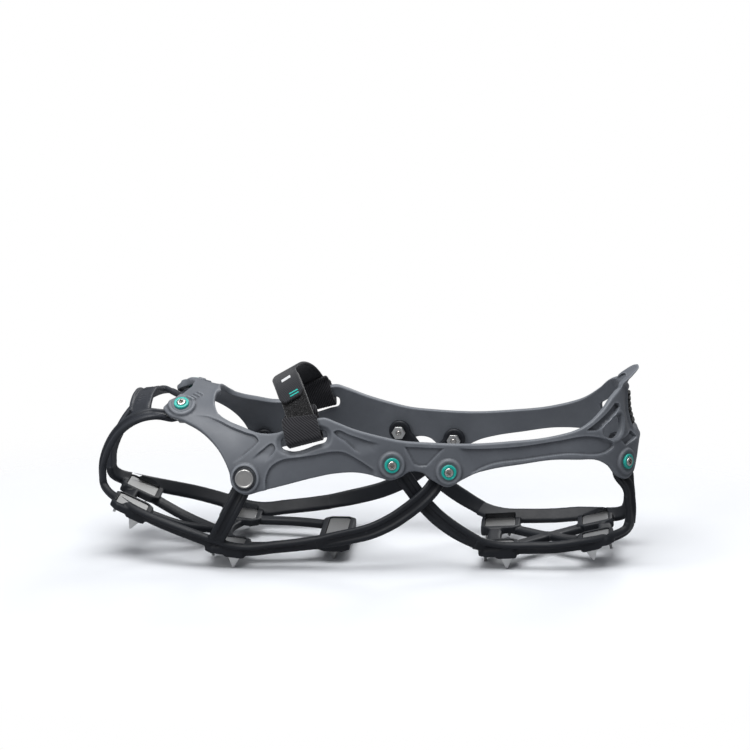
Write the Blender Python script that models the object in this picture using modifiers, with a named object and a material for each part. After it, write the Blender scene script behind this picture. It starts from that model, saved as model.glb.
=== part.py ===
"""Strap-on microspikes: an elastomer harness that hugs a boot, with two spiked webs slung under the sole.

The object stands on its spike tips at z = 0. The toe points to -X, the heel to +X, and the wearer's left side
is -Y. Lengths in the constants are millimetres; meshes are written in metres.
"""

import bpy
import bmesh
import numpy as np
from math import cos, pi, radians, sin
from mathutils import Matrix, Vector

MM = 0.001
# from the boot's own axes to the part's frame: mid-length at x = 0, lowest tip at z = 0
TO_FRAME = (4.115, 0, 0.699)

# ---- the boot form that the harness is moulded to ----------------------------------------------------
HEEL_START = 112.0        # x where the straight side turns into the round heel
HEEL_RADIUS = 39.0
WALL_FOOT = 36.0          # height where the harness pattern's v = 0 line runs
SECTION_POWER = 2.6       # super-ellipse power of a cross-section
HALF_WIDTHS = [(-158, 6), (-152, 20), (-140, 33), (-122, 42), (-100, 47.5), (-75, 50.5), (-50, 50.5),
               (-20, 47), (15, 42.5), (50, 40), (80, 39.3), (112, 39)]
CROWN_HEIGHTS = [(-158, 64), (-150, 78), (-140, 87), (-130, 92.5), (-118, 95.5), (-108, 95.5), (-95, 92.5),
                 (-80, 90.5), (-65, 93), (-45, 103), (-30, 114), (0, 132), (50, 134), (112, 126)]

# ---- harness -----------------------------------------------------------------------------------------
SKIN = 3.5                # harness thickness
BOSS = 4.8                # thickness at a fastener boss
CELL = 11.0               # spacing of the bends when the flat pattern is wrapped
BEYOND = 95.0             # a v past the crown, trimmed off at the centre plane
BACK = HEEL_START + HEEL_RADIUS * pi / 2     # u of the heel's centre line
TAB_FOOT = 68.6           # v where the pull tab starts

# fastener places on the pattern (u, v) and boss radii
RIVET = (-70.3, 18.8)
TOE_SCREW = (-109.4, 59.2)
MID_FRONT_SCREW = (12.5, 26.6)
MID_REAR_SCREW = (45.0, 22.6)
HEEL_SCREW = (149.2, 25.9)
SCREWS = {"toe": TOE_SCREW, "mid_front": MID_FRONT_SCREW, "mid_rear": MID_REAR_SCREW, "heel": HEEL_SCREW}
SCREW_BOSS_RADIUS = 7.4
RIVET_BOSS_RADIUS = 8.2
BORE = 3.3                # bore through the harness and the strap ends

# ---- fasteners ---------------------------------------------------------------------------------------
GAP = 0.3
CUT_GAP = 0.5             # between two lengths of one strap
BUSH_FLANGE_RADIUS = 4.3
BUSH_FLANGE = 1.1
BUSH_BARREL_RADIUS = 2.9
BUSH_BORE = 1.8
BUSH_END = -5.1           # inner end of the bushing, past the strap's eye
SCREW_HEAD_RADIUS = 2.6
SCREW_HEAD = 1.3
SCREW_SHANK = 1.45
SCREW_END = -9.0
NUT_RADIUS = 4.2
NUT = 1.6
NUT_TOP = -6.9
RIVET_HEAD_RADIUS = 5.3
RIVET_HEAD = 1.5
RIVET_SHANK = 2.3
RIVET_BACK_RADIUS = 5.0
RIVET_BACK = 1.2
RIVET_BACK_TOP = -5.8

# ---- straps, rails and pods --------------------------------------------------------------------------
STRAP = 3.4               # strap thickness
STRAP_DEPTH = -3.2        # strap centre below the harness's inner face at a fastener
STRAP_WIDTH = 9.5
RAIL_WIDTH = 9.0
RAIL = 4.2
EYE_RADIUS = 6.6

# ---- spike plates ------------------------------------------------------------------------------------
SHEET = 1.6
TOOTH_DROP = 9.5          # from the plate's underside to a tip
TOOTH_SHOULDER = 3.5      # straight part of a tooth that passes through the pod
TOOTH_WIDTH = 6.8
TIP_WIDTH = 0.9
POD_BELOW = 3.4
POD_ABOVE = 2.2


# ==== scene helpers ===================================================================================

def clear_scene():
    for obj in list(bpy.data.objects):
        bpy.data.objects.remove(obj, do_unlink=True)
    for coll in list(bpy.data.collections):
        bpy.data.collections.remove(coll)


def new_collection(name):
    coll = bpy.data.collections.new(name)
    bpy.context.scene.collection.children.link(coll)
    return coll


def material(name, colour, roughness, metallic=0.0):
    mat = bpy.data.materials.new(name)
    mat.use_nodes = True
    shader = mat.node_tree.nodes["Principled BSDF"]
    shader.inputs["Base Color"].default_value = (*colour, 1.0)
    shader.inputs["Roughness"].default_value = roughness
    shader.inputs["Metallic"].default_value = metallic
    return mat


def add_object(name, mesh, mat):
    """Links a copy of a mesh made in millimetres as a named part in metres."""
    mesh = mesh.copy()
    mesh.transform(Matrix.Scale(MM, 4) @ Matrix.Translation(TO_FRAME))
    obj = bpy.data.objects.new(name, mesh)
    PARTS.objects.link(obj)
    mesh.materials.clear()
    mesh.materials.append(mat)
    mesh.shade_smooth()
    mesh.set_sharp_from_angle(angle=radians(35))
    return obj


def helper_object(name, mesh):
    """Links a mesh as a hidden tool shape that a Boolean modifier reads."""
    obj = bpy.data.objects.new(name, mesh)
    TOOLS.objects.link(obj)
    obj.display_type = "WIRE"
    obj.hide_render = True
    return obj


def boolean(obj, tool, operation, solver="EXACT"):
    mod = obj.modifiers.new(tool.name, "BOOLEAN")
    mod.operation = operation
    mod.object = tool
    mod.solver = solver


def evaluated_mesh(obj):
    """A real mesh of an object with its modifiers, welded."""
    bpy.context.view_layer.update()
    graph = bpy.context.evaluated_depsgraph_get()
    mesh = bpy.data.meshes.new_from_object(obj.evaluated_get(graph))
    mesh.transform(obj.matrix_world)
    weld(mesh)
    return mesh


def weld(mesh, distance=1e-3):
    bm = bmesh.new()
    bm.from_mesh(mesh)
    bmesh.ops.remove_doubles(bm, verts=bm.verts, dist=distance)
    bmesh.ops.recalc_face_normals(bm, faces=bm.faces)
    bm.to_mesh(mesh)
    bm.free()


def take_mesh(obj):
    """Turns a tool object with its modifiers into a mesh and removes the object."""
    mesh = evaluated_mesh(obj)
    bpy.data.objects.remove(obj, do_unlink=True)
    return mesh


def mirrored(mesh):
    """A copy of a mesh on the other side of the centre plane."""
    copy = mesh.copy()
    copy.transform(Matrix.Scale(-1, 4, (0, 1, 0)))
    copy.flip_normals()
    return copy


# ==== boot form =======================================================================================

def along(stations, x):
    """Smooth Hermite interpolation of (x, value) stations."""
    xs, ys = np.array(stations, float).T
    slopes = np.gradient(ys, xs)
    x = np.clip(x, xs[0], xs[-1])
    i = np.clip(np.searchsorted(xs, x) - 1, 0, len(xs) - 2)
    step = xs[i + 1] - xs[i]
    t = (x - xs[i]) / step
    value = ys[i] * (2 * t**3 - 3 * t**2 + 1) + ys[i + 1] * (3 * t**2 - 2 * t**3)
    return value + step * (slopes[i] * (t**3 - 2 * t**2 + t) + slopes[i + 1] * (t**3 - t**2))


SWEEP = np.linspace(0, pi, 129)


def form_points(u, v):
    """Points of the boot form: u runs round the outline from toe to heel, v runs up the side and over."""
    x = np.minimum(u, HEEL_START)
    turn = np.maximum(u - HEEL_START, 0) / HEEL_RADIUS
    width = along(HALF_WIDTHS, x)
    height = along(CROWN_HEIGHTS, x) - WALL_FOOT
    across = np.sign(np.cos(SWEEP)) * np.abs(np.cos(SWEEP)) ** (2 / SECTION_POWER)
    up = np.sin(SWEEP) ** (2 / SECTION_POWER)
    out = np.empty((len(u), 3))
    for k in range(len(u)):
        sy = width[k] * across
        sz = height[k] * up
        run = np.concatenate([[0], np.cumsum(np.hypot(np.diff(sy), np.diff(sz)))])
        lean = width[k] - np.interp(v[k], run, sy)
        out[k, 0] = x[k] + (HEEL_RADIUS - lean) * sin(turn[k])
        out[k, 1] = -(width[k] - lean) * cos(turn[k])
        out[k, 2] = WALL_FOOT + np.interp(v[k], run, sz) + min(v[k], 0)
    return out


def wrap(u, v, h):
    """Wraps pattern points onto the boot form, h outward from it. Returns points and outward normals."""
    u, v, h = (np.atleast_1d(np.asarray(a, float)) for a in (u, v, h))
    small = 0.25
    point = form_points(u, v)
    du = form_points(u + small, v) - form_points(u - small, v)
    dv = form_points(u, v + small) - form_points(u, v - small)
    normal = np.cross(du, dv)
    normal /= np.maximum(np.linalg.norm(normal, axis=1, keepdims=True), 1e-9)
    return point + normal * h[:, None], normal


def on_form(place, h):
    """One wrapped point and its normal, for a fastener or a strap end."""
    point, normal = wrap([place[0]], [place[1]], [h])
    return Vector(point[0]), Vector(normal[0])


def outward(x, y):
    """Horizontal direction away from the boot at a place beside it."""
    if x > HEEL_START:
        return Vector((x - HEEL_START, y, 0)).normalized()
    slope = (along(HALF_WIDTHS, x + 0.5) - along(HALF_WIDTHS, x - 0.5))
    side = -1 if y < 0 else 1
    return Vector((-slope, side, 0)).normalized()


# ==== flat patterns ===================================================================================

def flat_shape(loops, low, high, smooth=True):
    """A flat plate between heights low and high, from closed outlines; inner outlines are holes."""
    curve = bpy.data.curves.new("flat", "CURVE")
    curve.dimensions = "2D"
    curve.fill_mode = "BOTH"
    curve.extrude = (high - low) / 2
    for points in loops:
        if smooth:
            spline = curve.splines.new("BEZIER")
            spline.bezier_points.add(len(points) - 1)
            for knot, (x, y) in zip(spline.bezier_points, points):
                knot.co = (x, y, 0)
                knot.handle_left_type = knot.handle_right_type = "AUTO"
            spline.resolution_u = 2
        else:
            spline = curve.splines.new("POLY")
            spline.points.add(len(points) - 1)
            for knot, (x, y) in zip(spline.points, points):
                knot.co = (x, y, 0, 1)
        spline.use_cyclic_u = True
    obj = helper_object("flat", curve)
    obj.location.z = (high + low) / 2
    mesh = evaluated_mesh(obj)
    bpy.data.objects.remove(obj, do_unlink=True)
    return mesh


def disc(place, radius, low, high, sides=16):
    """A flat round plate in pattern space."""
    ring = [(place[0] + radius * cos(2 * pi * k / sides), place[1] + radius * sin(2 * pi * k / sides))
            for k in range(sides)]
    return flat_shape([ring], low, high, smooth=False)


def combine(mesh, steps, solver="EXACT"):
    """Applies Boolean steps [(mesh, operation)] to a mesh."""
    base = helper_object("base", mesh)
    tools = [helper_object("tool", other) for other, _ in steps]
    for tool, (_, operation) in zip(tools, steps):
        boolean(base, tool, operation, solver)
    result = take_mesh(base)
    for tool in tools:
        bpy.data.objects.remove(tool, do_unlink=True)
    return result


def cut_into_cells(mesh, cell):
    """Cuts a flat plate along a grid so that it can bend."""
    bm = bmesh.new()
    bm.from_mesh(mesh)
    bmesh.ops.dissolve_limit(bm, angle_limit=radians(1), verts=bm.verts, edges=bm.edges)
    for axis in (0, 1):
        values = [vert.co[axis] for vert in bm.verts]
        first = int(np.floor(min(values) / cell))
        last = int(np.ceil(max(values) / cell))
        normal = Vector((1, 0, 0)) if axis == 0 else Vector((0, 1, 0))
        for k in range(first, last + 1):
            whole = bm.verts[:] + bm.edges[:] + bm.faces[:]
            bmesh.ops.bisect_plane(bm, geom=whole, plane_co=normal * (k * cell), plane_no=normal, dist=1e-4)
    bmesh.ops.triangulate(bm, faces=bm.faces)
    bm.to_mesh(mesh)
    bm.free()


def wrap_mesh(mesh, bend=None):
    """Wraps a flat pattern mesh onto the boot form."""
    flat = np.empty(len(mesh.vertices) * 3)
    mesh.vertices.foreach_get("co", flat)
    flat = flat.reshape(-1, 3)
    points, _ = wrap(flat[:, 0], flat[:, 1], flat[:, 2])
    if bend is not None:
        points = bend(flat, points)
    mesh.vertices.foreach_set("co", points.ravel())
    mesh.update()
    weld(mesh)
    return mesh


def mirror_modifier(obj):
    mod = obj.modifiers.new("both_sides", "MIRROR")
    mod.use_axis = (False, True, False)
    mod.use_bisect_axis = (False, True, False)
    mod.use_bisect_flip_axis = (False, True, False)
    mod.merge_threshold = 0.00005
    mod.bisect_threshold = 0.00001


# ==== ribbons: straps and rails =======================================================================

def smooth_path(knots, per_span):
    """Catmull-Rom samples of rows of numbers."""
    rows = np.array(knots, float)
    rows = np.vstack([2 * rows[0] - rows[1], rows, 2 * rows[-1] - rows[-2]])
    samples = []
    for i in range(1, len(rows) - 2):
        for t in np.arange(per_span) / per_span:
            a, b, c, d = rows[i - 1:i + 3]
            bend = 2 * a - 5 * b + 4 * c - d + t * (3 * (b - c) + d - a)
            samples.append(b + 0.5 * t * (c - a + t * bend))
    samples.append(rows[-2])
    return samples


def station(x, y, z, tilt):
    """A strap station beside the boot; tilt is how far its face turns down from upright, in degrees."""
    side = outward(x, y)
    normal = side * cos(radians(tilt)) - Vector((0, 0, sin(radians(tilt))))
    return [x, y, z, *normal]


def pinned(place, h=STRAP_DEPTH):
    """A strap station under a fastener."""
    point, normal = on_form(place, h)
    return [*point, *normal]


def ribbon_mesh(stations, width, thickness, per_span=2, keep=None):
    """A strap of constant section swept through stations: point, face normal and maybe a width direction.

    keep gives the first and last station of the stretch that is made, half a gap short at a cut end.
    """
    path = smooth_path(stations, per_span)
    points = [Vector(row[:3]) for row in path]
    first, last = (k * per_span for k in keep) if keep else (0, len(path) - 1)
    bm = bmesh.new()
    rings = []
    for i, row in enumerate(path[first:last + 1], first):
        ahead = (points[min(i + 1, len(path) - 1)] - points[max(i - 1, 0)]).normalized()
        across = Vector(row[6:]) if len(row) > 6 else ahead.cross(Vector(row[3:6]))
        across = (across - ahead * across.dot(ahead)).normalized()
        face = across.cross(ahead)
        corners = [(-1, -1), (1, -1), (1, 1), (-1, 1)]
        middle = points[i]
        if i == first and first > 0:
            middle = middle + ahead * CUT_GAP / 2
        if i == last and last < len(path) - 1:
            middle = middle - ahead * CUT_GAP / 2
        ring = [middle + across * (a * width / 2) + face * (b * thickness / 2) for a, b in corners]
        rings.append([bm.verts.new(corner) for corner in ring])
    for low, high in zip(rings, rings[1:]):
        for k in range(4):
            bm.faces.new((low[k], low[(k + 1) % 4], high[(k + 1) % 4], high[k]))
    bm.faces.new(rings[0][::-1])
    bm.faces.new(rings[-1])
    bmesh.ops.recalc_face_normals(bm, faces=bm.faces)
    bmesh.ops.triangulate(bm, faces=bm.faces)
    mesh = bpy.data.meshes.new("ribbon")
    bm.to_mesh(mesh)
    bm.free()
    return mesh


def axis_frame(point, direction):
    """Matrix with +Z along a direction."""
    turn = Vector(direction).to_track_quat("Z", "Y").to_matrix().to_4x4()
    return Matrix.Translation(Vector(point)) @ turn


def rod(point, direction, radius, low, high, sides=16):
    """A cylinder along a direction, between two offsets from a point."""
    bm = bmesh.new()
    bmesh.ops.create_cone(bm, cap_ends=True, segments=sides, radius1=radius, radius2=radius,
                          depth=high - low)
    bmesh.ops.translate(bm, verts=bm.verts, vec=(0, 0, (low + high) / 2))
    bmesh.ops.transform(bm, verts=bm.verts, matrix=axis_frame(point, direction))
    mesh = bpy.data.meshes.new("rod")
    bm.to_mesh(mesh)
    bm.free()
    return mesh


def eye_steps(place, bore=BORE, radius=EYE_RADIUS):
    """Boolean steps that give a strap a round drilled end at a fastener."""
    point, normal = on_form(place, STRAP_DEPTH)
    pad = rod(point, normal, radius, -STRAP / 2, STRAP / 2)
    hole = rod(point, normal, bore, -3 * STRAP, 3 * STRAP)
    return [(pad, "UNION")], [(hole, "DIFFERENCE")]


def turned(profile, sides=12):
    """A turned solid about +Z, from a closed or axis-to-axis profile of (radius, height) in millimetres."""
    mesh = bpy.data.meshes.new("profile")
    closed = profile[0][0] > 0
    edges = [(k, k + 1) for k in range(len(profile) - 1)]
    if closed:
        edges.append((len(profile) - 1, 0))
    mesh.from_pydata([(r, 0, z) for r, z in profile], edges, [])
    obj = helper_object("turned", mesh)
    screw = obj.modifiers.new("turn", "SCREW")
    screw.steps = screw.render_steps = sides
    screw.use_merge_vertices = True
    screw.merge_threshold = 0.0001
    screw.use_normal_calculate = True
    return take_mesh(obj)


# ==== harness =========================================================================================

HARNESS_OUTLINE = [
    (-106, BEYOND), (-107, 80), (-109.5, 71), (-113, 64), (-117.8, 59.4), (-119.6, 56), (-117.6, 53.2),
    (-106.5, 48.8), (-98, 44.6), (-90, 38), (-83.6, 30), (-79.6, 22), (-77.5, 14), (-71, 9.6),
    (-61.6, 11.7), (-48, 15.2), (-32.5, 19.2), (-20, 21.6), (-7, 22), (4.6, 19.5), (11.8, 17.6), (17.5, 19.4),
    (22.5, 22.4), (29.5, 22), (35.5, 17.6), (44.6, 13.6), (52.5, 17.8), (60, 21.6), (70, 24.4), (86, 27.2),
    (104, 30), (118, 30.2), (128, 29.6), (136, 25.6), (142.5, 18.6), (149.5, 15.4), (156.5, 18.2),
    (161, 25), (166, 31), (BACK, 34), (BACK + 8, 34),
    (BACK + 8, 68), (BACK, 68), (160, 68), (151.5, 67), (143.5, 63.6), (134, 57), (121, 48.6), (104, 43.4),
    (78, 40), (59, 38.6), (33, 39.1), (18, 40.2), (5, 43), (-10, 47.3), (-19.8, 51.2), (-25.5, 53.2),
    (-33, 51.8), (-45, 47.2), (-53, 44.3), (-62.8, 44.2), (-73.3, 48), (-82.9, 52.2), (-88.2, 56),
    (-91, 63), (-92, 75), (-91.6, BEYOND),
]
SLOT_OUTLINE = [(-49.3, 36.2), (-45.5, 34.7), (-30, 38.2), (-24.8, 40.2), (-24.6, 45), (-29.5, 46.4),
                (-45.5, 42.4), (-49.6, 40.6)]
WINDOW_OUTLINE = [(147.5, 52.5), (147, 44.5), (144, 41.4), (138.8, 40.6), (134.2, 43), (133.8, 46.4),
                  (138, 49.6)]
GRIP_OUTLINE = [(BACK - 7.5, 43), (BACK + 7.5, 43), (BACK + 6, 62), (BACK - 6, 62)]
GRIP_POCKET = 1.8         # depth of the pad's pocket in the harness
GRIP_SUNK = 1.5           # depth of the pad's own foot
GRIP_PROUD = 1.2          # height of the pad above the harness
GRIP_CLEAR = 0.4
TAB_RISE = 10.5           # height of the pull tab on the pattern
FLARE = 0.1               # how fast the pull tab leans back, per millimetre


def grown(points, amount):
    """A convex outline moved outward from its middle."""
    middle = np.mean(points, axis=0)
    out = []
    for point in np.array(points, float):
        ray = point - middle
        out.append(tuple(middle + ray * (1 + amount / np.linalg.norm(ray))))
    return out


def make_harness(mat):
    flat = flat_shape([HARNESS_OUTLINE, SLOT_OUTLINE, WINDOW_OUTLINE], 0, SKIN)
    steps = [(disc(place, SCREW_BOSS_RADIUS, 1, BOSS), "UNION") for place in SCREWS.values()]
    steps.append((disc(RIVET, RIVET_BOSS_RADIUS, 1, BOSS), "UNION"))
    steps += [(disc(place, BORE, -1, BOSS + 1), "DIFFERENCE") for place in (*SCREWS.values(), RIVET)]
    pocket = flat_shape([grown(GRIP_OUTLINE, GRIP_CLEAR)], SKIN - GRIP_POCKET, SKIN + 2, smooth=False)
    steps.append((pocket, "DIFFERENCE"))
    flat = combine(flat, steps)
    cut_into_cells(flat, CELL)
    mirror_modifier(add_object("harness", wrap_mesh(flat), mat))


def make_grip(mat):
    """The pad let into the back of the heel."""
    flat = flat_shape([GRIP_OUTLINE], SKIN - GRIP_SUNK, SKIN + GRIP_PROUD, smooth=False)
    cut_into_cells(flat, 5.0)
    mirror_modifier(add_object("heel_grip_pad", wrap_mesh(flat), mat))


def flare(flat, points):
    """Bends the pull tab's top edge away from the heel."""
    rise = np.clip(flat[:, 1] - TAB_FOOT, 0, None)
    points = points.copy()
    points[:, 0] += FLARE * rise**2
    return points


def make_pull_tab(mat):
    top = TAB_FOOT + TAB_RISE
    outline = [(BACK + 8, TAB_FOOT), (BACK + 8, top), (BACK, top), (BACK - 9, top - 0.8),
               (BACK - 14.5, top - 4.5), (BACK - 17, TAB_FOOT + 2), (BACK - 17.5, TAB_FOOT)]
    flat = flat_shape([outline], 0, SKIN, smooth=False)
    cut_into_cells(flat, 5.0)
    mirror_modifier(add_object("heel_pull_tab", wrap_mesh(flat, flare), mat))


# ==== fasteners =======================================================================================

def both_sides(stem, mesh, mat, place, h=0.0):
    """Adds a fastener piece at a place on the left side and its mirror on the right."""
    point, normal = on_form(place, h)
    left = mesh.copy()
    left.transform(axis_frame(point, normal))
    add_object(stem + "_left", left, mat)
    add_object(stem + "_right", mirrored(left), mat)


def make_screw_sets(steel, teal, nut_steel):
    seat = BOSS + GAP
    bush = turned([(BUSH_BORE, seat + BUSH_FLANGE), (BUSH_BORE, BUSH_END), (BUSH_BARREL_RADIUS, BUSH_END),
                   (BUSH_BARREL_RADIUS, seat), (BUSH_FLANGE_RADIUS, seat),
                   (BUSH_FLANGE_RADIUS, seat + BUSH_FLANGE - 0.4),
                   (BUSH_FLANGE_RADIUS - 0.4, seat + BUSH_FLANGE)])
    under = seat + BUSH_FLANGE + 0.2
    screw = turned([(0, SCREW_END), (SCREW_SHANK, SCREW_END), (SCREW_SHANK, under),
                    (SCREW_HEAD_RADIUS, under), (SCREW_HEAD_RADIUS, under + SCREW_HEAD * 0.5),
                    (SCREW_HEAD_RADIUS * 0.7, under + SCREW_HEAD), (0, under + SCREW_HEAD)])
    nut = turned([(SCREW_SHANK + GAP, NUT_TOP), (SCREW_SHANK + GAP, NUT_TOP - NUT),
                  (NUT_RADIUS, NUT_TOP - NUT), (NUT_RADIUS, NUT_TOP)])
    for name, place in SCREWS.items():
        both_sides(name + "_screw", screw, steel, place)
        both_sides(name + "_bushing", bush, teal, place)
        both_sides(name + "_nut", nut, nut_steel, place)


def make_rivets(steel):
    seat = BOSS + GAP
    end = RIVET_BACK_TOP - RIVET_BACK
    head = turned([(0, end), (RIVET_SHANK, end), (RIVET_SHANK, seat),
                   (RIVET_HEAD_RADIUS, seat), (RIVET_HEAD_RADIUS, seat + RIVET_HEAD * 0.6),
                   (RIVET_HEAD_RADIUS - 0.8, seat + RIVET_HEAD), (0, seat + RIVET_HEAD)])
    back = turned([(RIVET_SHANK + GAP, RIVET_BACK_TOP), (RIVET_SHANK + GAP, end),
                   (RIVET_BACK_RADIUS, end), (RIVET_BACK_RADIUS, RIVET_BACK_TOP)])
    both_sides("ball_rivet", head, steel, RIVET)
    both_sides("ball_rivet_washer", back, steel, RIVET)


# ==== straps ==========================================================================================

CROSS_START_X = -30.0
HEEL_CROSS_X = 60.0


def drilled_strap(stations, place, width=STRAP_WIDTH):
    pad, hole = eye_steps(place)
    return combine(ribbon_mesh(stations, width, STRAP), pad + hole)


def make_toe_strap(mat):
    """The strap over the toecap: two arms from the rails to the yoke's screws, and a bridge between them."""
    arm = [[-158.4, -15.6, 45.9, -0.97, -0.24, 0.0], [-158.0, -16.8, 53, -0.94, -0.33, 0.10],
           [-154.6, -21.5, 63, -0.84, -0.42, 0.33], [-149.2, -26, 72.5, -0.70, -0.48, 0.52],
           [-142.4, -30, 80, -0.55, -0.50, 0.67], [-134.5, -32.5, 85.2, -0.36, -0.48, 0.80],
           [-126, -31.8, 87.2, -0.18, -0.50, 0.85], pinned((-117.5, 56.2), -4.1), pinned(TOE_SCREW)]
    bridge = [[-133, -31, 85.6, -0.3, -0.48, 0.8], [-134.2, -23, 88.9, -0.25, -0.35, 0.9],
              [-134.8, -12, 90.9, -0.2, -0.16, 0.97], [-135, 2, 91.4, -0.2, 0, 0.98]]
    pad, hole = eye_steps(TOE_SCREW)
    half = combine(ribbon_mesh(arm, 8.8, STRAP), pad + [(ribbon_mesh(bridge, 11.5, STRAP), "UNION")] + hole)
    mirror_modifier(add_object("toe_strap", half, mat))


def make_cross_straps(mat):
    """The straps that rise past each other at mid-foot to the harness's two middle screws."""
    outer = [station(CROSS_START_X + 1.0, -44.9, 16.4, 30), station(-15, -45.6, 19.5, 15),
             station(0, -46.2, 23.5, 6), station(12, -45, 29, 0), station(21, -43.8, 35, 0),
             station(29, -43.2, 41.5, 0), station(34.5, -41.2, 46.8, 0), pinned((39.5, 16.8)),
             pinned(MID_REAR_SCREW)]
    inner = [station(HEEL_CROSS_X - 1.4, -38, 16.6, 30), station(53, -38.6, 20.5, 15),
             station(45.5, -38.7, 25.3, 5), station(37.5, -38.2, 31.5, 0), station(30, -38.2, 39.5, 0),
             station(24, -38.4, 47.5, 0), pinned((18.5, 19.8)), pinned(MID_FRONT_SCREW)]
    for stem, path, place in (("forefoot_cross_strap", outer, MID_REAR_SCREW),
                              ("heel_cross_strap", inner, MID_FRONT_SCREW)):
        mesh = drilled_strap(path, place)
        add_object(stem + "_left", mesh, mat)
        add_object(stem + "_right", mirrored(mesh), mat)


def make_heel_straps(mat):
    path = [pinned(HEEL_SCREW), pinned((151.5, 17)), station(147.4, -20.8, 46, 0),
            station(148.6, -20.2, 38, 2), station(149.2, -19.4, 31, 6), station(148.9, -19.2, 26.4, 12)]
    mesh = drilled_strap(path, HEEL_SCREW)
    add_object("heel_strap_left", mesh, mat)
    add_object("heel_strap_right", mirrored(mesh), mat)


# ==== spike plates and pods ===========================================================================

class Pod:
    """A spike pod: where its side-facing tooth meets the plate, its lean and where its second tooth is."""

    def __init__(self, name, root, lean, second):
        self.name = name
        self.second = second
        self.frame = Matrix.Translation(root) @ Matrix.Rotation(radians(lean), 4, "Y")

    def place(self, mesh):
        mesh.transform(self.frame)
        return mesh

    def at(self, x, y):
        """World place of a point in the pod, at the height where web members join it."""
        return self.frame @ Vector((x, y, -1.2))


FOREFOOT_PODS = [Pod("toe", (-136.6, -30, 26.8), 25, (-13.2, 16)),
                 Pod("ball", (-78.0, -43, 9.5), 6, (-14, 18))]
ARCH_PLACE = (-22.4, 0, 9.5)
ARCH_TOOTH = -22.5        # y of the arch plate's left tooth
ARCH_TURN = -40
HEEL_PODS = [Pod("heel_front", (78, -34, 9.5), -3, (-12.8, 15)),
             Pod("heel_back", (126.2, -28.5, 13.6), -14, (10.5, 15))]


def box(x, y, z):
    """A block between pairs of limits in millimetres."""
    bm = bmesh.new()
    bmesh.ops.create_cube(bm, size=1)
    size = Matrix.Diagonal((x[1] - x[0], y[1] - y[0], z[1] - z[0], 1))
    centre = Vector((x[0] + x[1], y[0] + y[1], z[0] + z[1])) / 2
    bmesh.ops.transform(bm, verts=bm.verts, matrix=Matrix.Translation(centre) @ size)
    mesh = bpy.data.meshes.new("box")
    bm.to_mesh(mesh)
    bm.free()
    return mesh


def tooth(centre, turn, grow):
    """A pointed tooth hanging from the plate; at turn 0 it faces the side, at 90 the front."""
    half = TOOTH_WIDTH / 2 + grow
    tip = TIP_WIDTH / 2 + grow
    drop = -TOOTH_DROP - grow
    outline = [(-half, 0.3), (-half, -TOOTH_SHOULDER), (-tip, drop), (tip, drop), (half, -TOOTH_SHOULDER),
               (half, 0.3)]
    mesh = flat_shape([outline], -SHEET / 2 - grow, SHEET / 2 + grow, smooth=False)
    mesh.transform(Matrix.Rotation(pi / 2, 4, "X"))
    mesh.transform(Matrix.Rotation(radians(turn), 4, "Z"))
    mesh.transform(Matrix.Translation((*centre, 0)))
    return mesh


def plate_mesh(pod, grow=0.0):
    """The stamped plate with its two bent teeth, in the pod's own frame."""
    dx, dy = pod.second
    end = dx + (SHEET / 2 if dx > 0 else -SHEET / 2)
    low, high = sorted((end, -TOOTH_WIDTH / 2 - 0.6 if dx > 0 else TOOTH_WIDTH / 2 + 0.6))
    base = box((low - grow, high + grow), (-SHEET / 2 - grow, dy + TOOTH_WIDTH / 2 + 0.6 + grow),
               (-grow, SHEET + grow + (3 if grow else 0)))
    return combine(base, [(tooth((0, 0), 0, grow), "UNION"), (tooth((dx, dy), 90, grow), "UNION")])


def octagon(x, y, cut):
    """A rectangle between limits with its corners cut off."""
    return [(x[0] + cut, y[0]), (x[1] - cut, y[0]), (x[1], y[0] + cut), (x[1], y[1] - cut),
            (x[1] - cut, y[1]), (x[0] + cut, y[1]), (x[0], y[1] - cut), (x[0], y[0] + cut)]


def arch_plate(grow=0.0):
    """The plate across the arch: one wide strip with a turned tooth at each end."""
    base = box((-6 - grow, 6 + grow), (ARCH_TOOTH - 4 - grow, -ARCH_TOOTH + 4 + grow),
               (-grow, SHEET + grow + (3 if grow else 0)))
    left = tooth((0, ARCH_TOOTH), ARCH_TURN, grow)
    mesh = combine(base, [(left, "UNION"), (mirrored(left), "UNION")])
    mesh.transform(Matrix.Translation(ARCH_PLACE))
    return mesh


def arch_pod():
    mesh = flat_shape([octagon((-9.5, 9.5), (ARCH_TOOTH - 7, -ARCH_TOOTH + 7), 4)], -POD_BELOW, POD_ABOVE,
                      smooth=False)
    mesh.transform(Matrix.Translation(ARCH_PLACE))
    return mesh


def pod_mesh(pod):
    """The moulded block round a plate."""
    dx, dy = pod.second
    low, high = sorted((dx + (3.4 if dx > 0 else -3.4), -7.2 if dx > 0 else 7.2))
    return flat_shape([octagon((low, high), (-3.6, dy + 7.2), 4)], -POD_BELOW, POD_ABOVE, smooth=False)


def make_web(name, mat, steel, pods, ribbons, drill, middle):
    """A spiked web: the left half's ribbons and pods joined, pocketed for the plates and mirrored."""
    steps = [(ribbon, "UNION") for ribbon in ribbons[1:]]
    steps += [(pod.place(pod_mesh(pod)), "UNION") for pod in pods]
    steps += drill
    steps += [(pod.place(plate_mesh(pod, GAP)), "DIFFERENCE") for pod in pods]
    half = combine(ribbons[0], steps, "MANIFOLD")
    whole = combine(half, [(mirrored(half), "UNION")] + middle, "MANIFOLD")
    add_object(name, whole, mat)
    for pod in pods:
        plate = pod.place(plate_mesh(pod))
        add_object("spike_plate_" + pod.name + "_left", plate, steel)
        add_object("spike_plate_" + pod.name + "_right", mirrored(plate), steel)


def flat_link(points, width=8.0, thickness=RAIL):
    """A web member under the sole, lying flat."""
    return ribbon_mesh([[*point, 0, 0, -1] for point in points], width, thickness)


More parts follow.
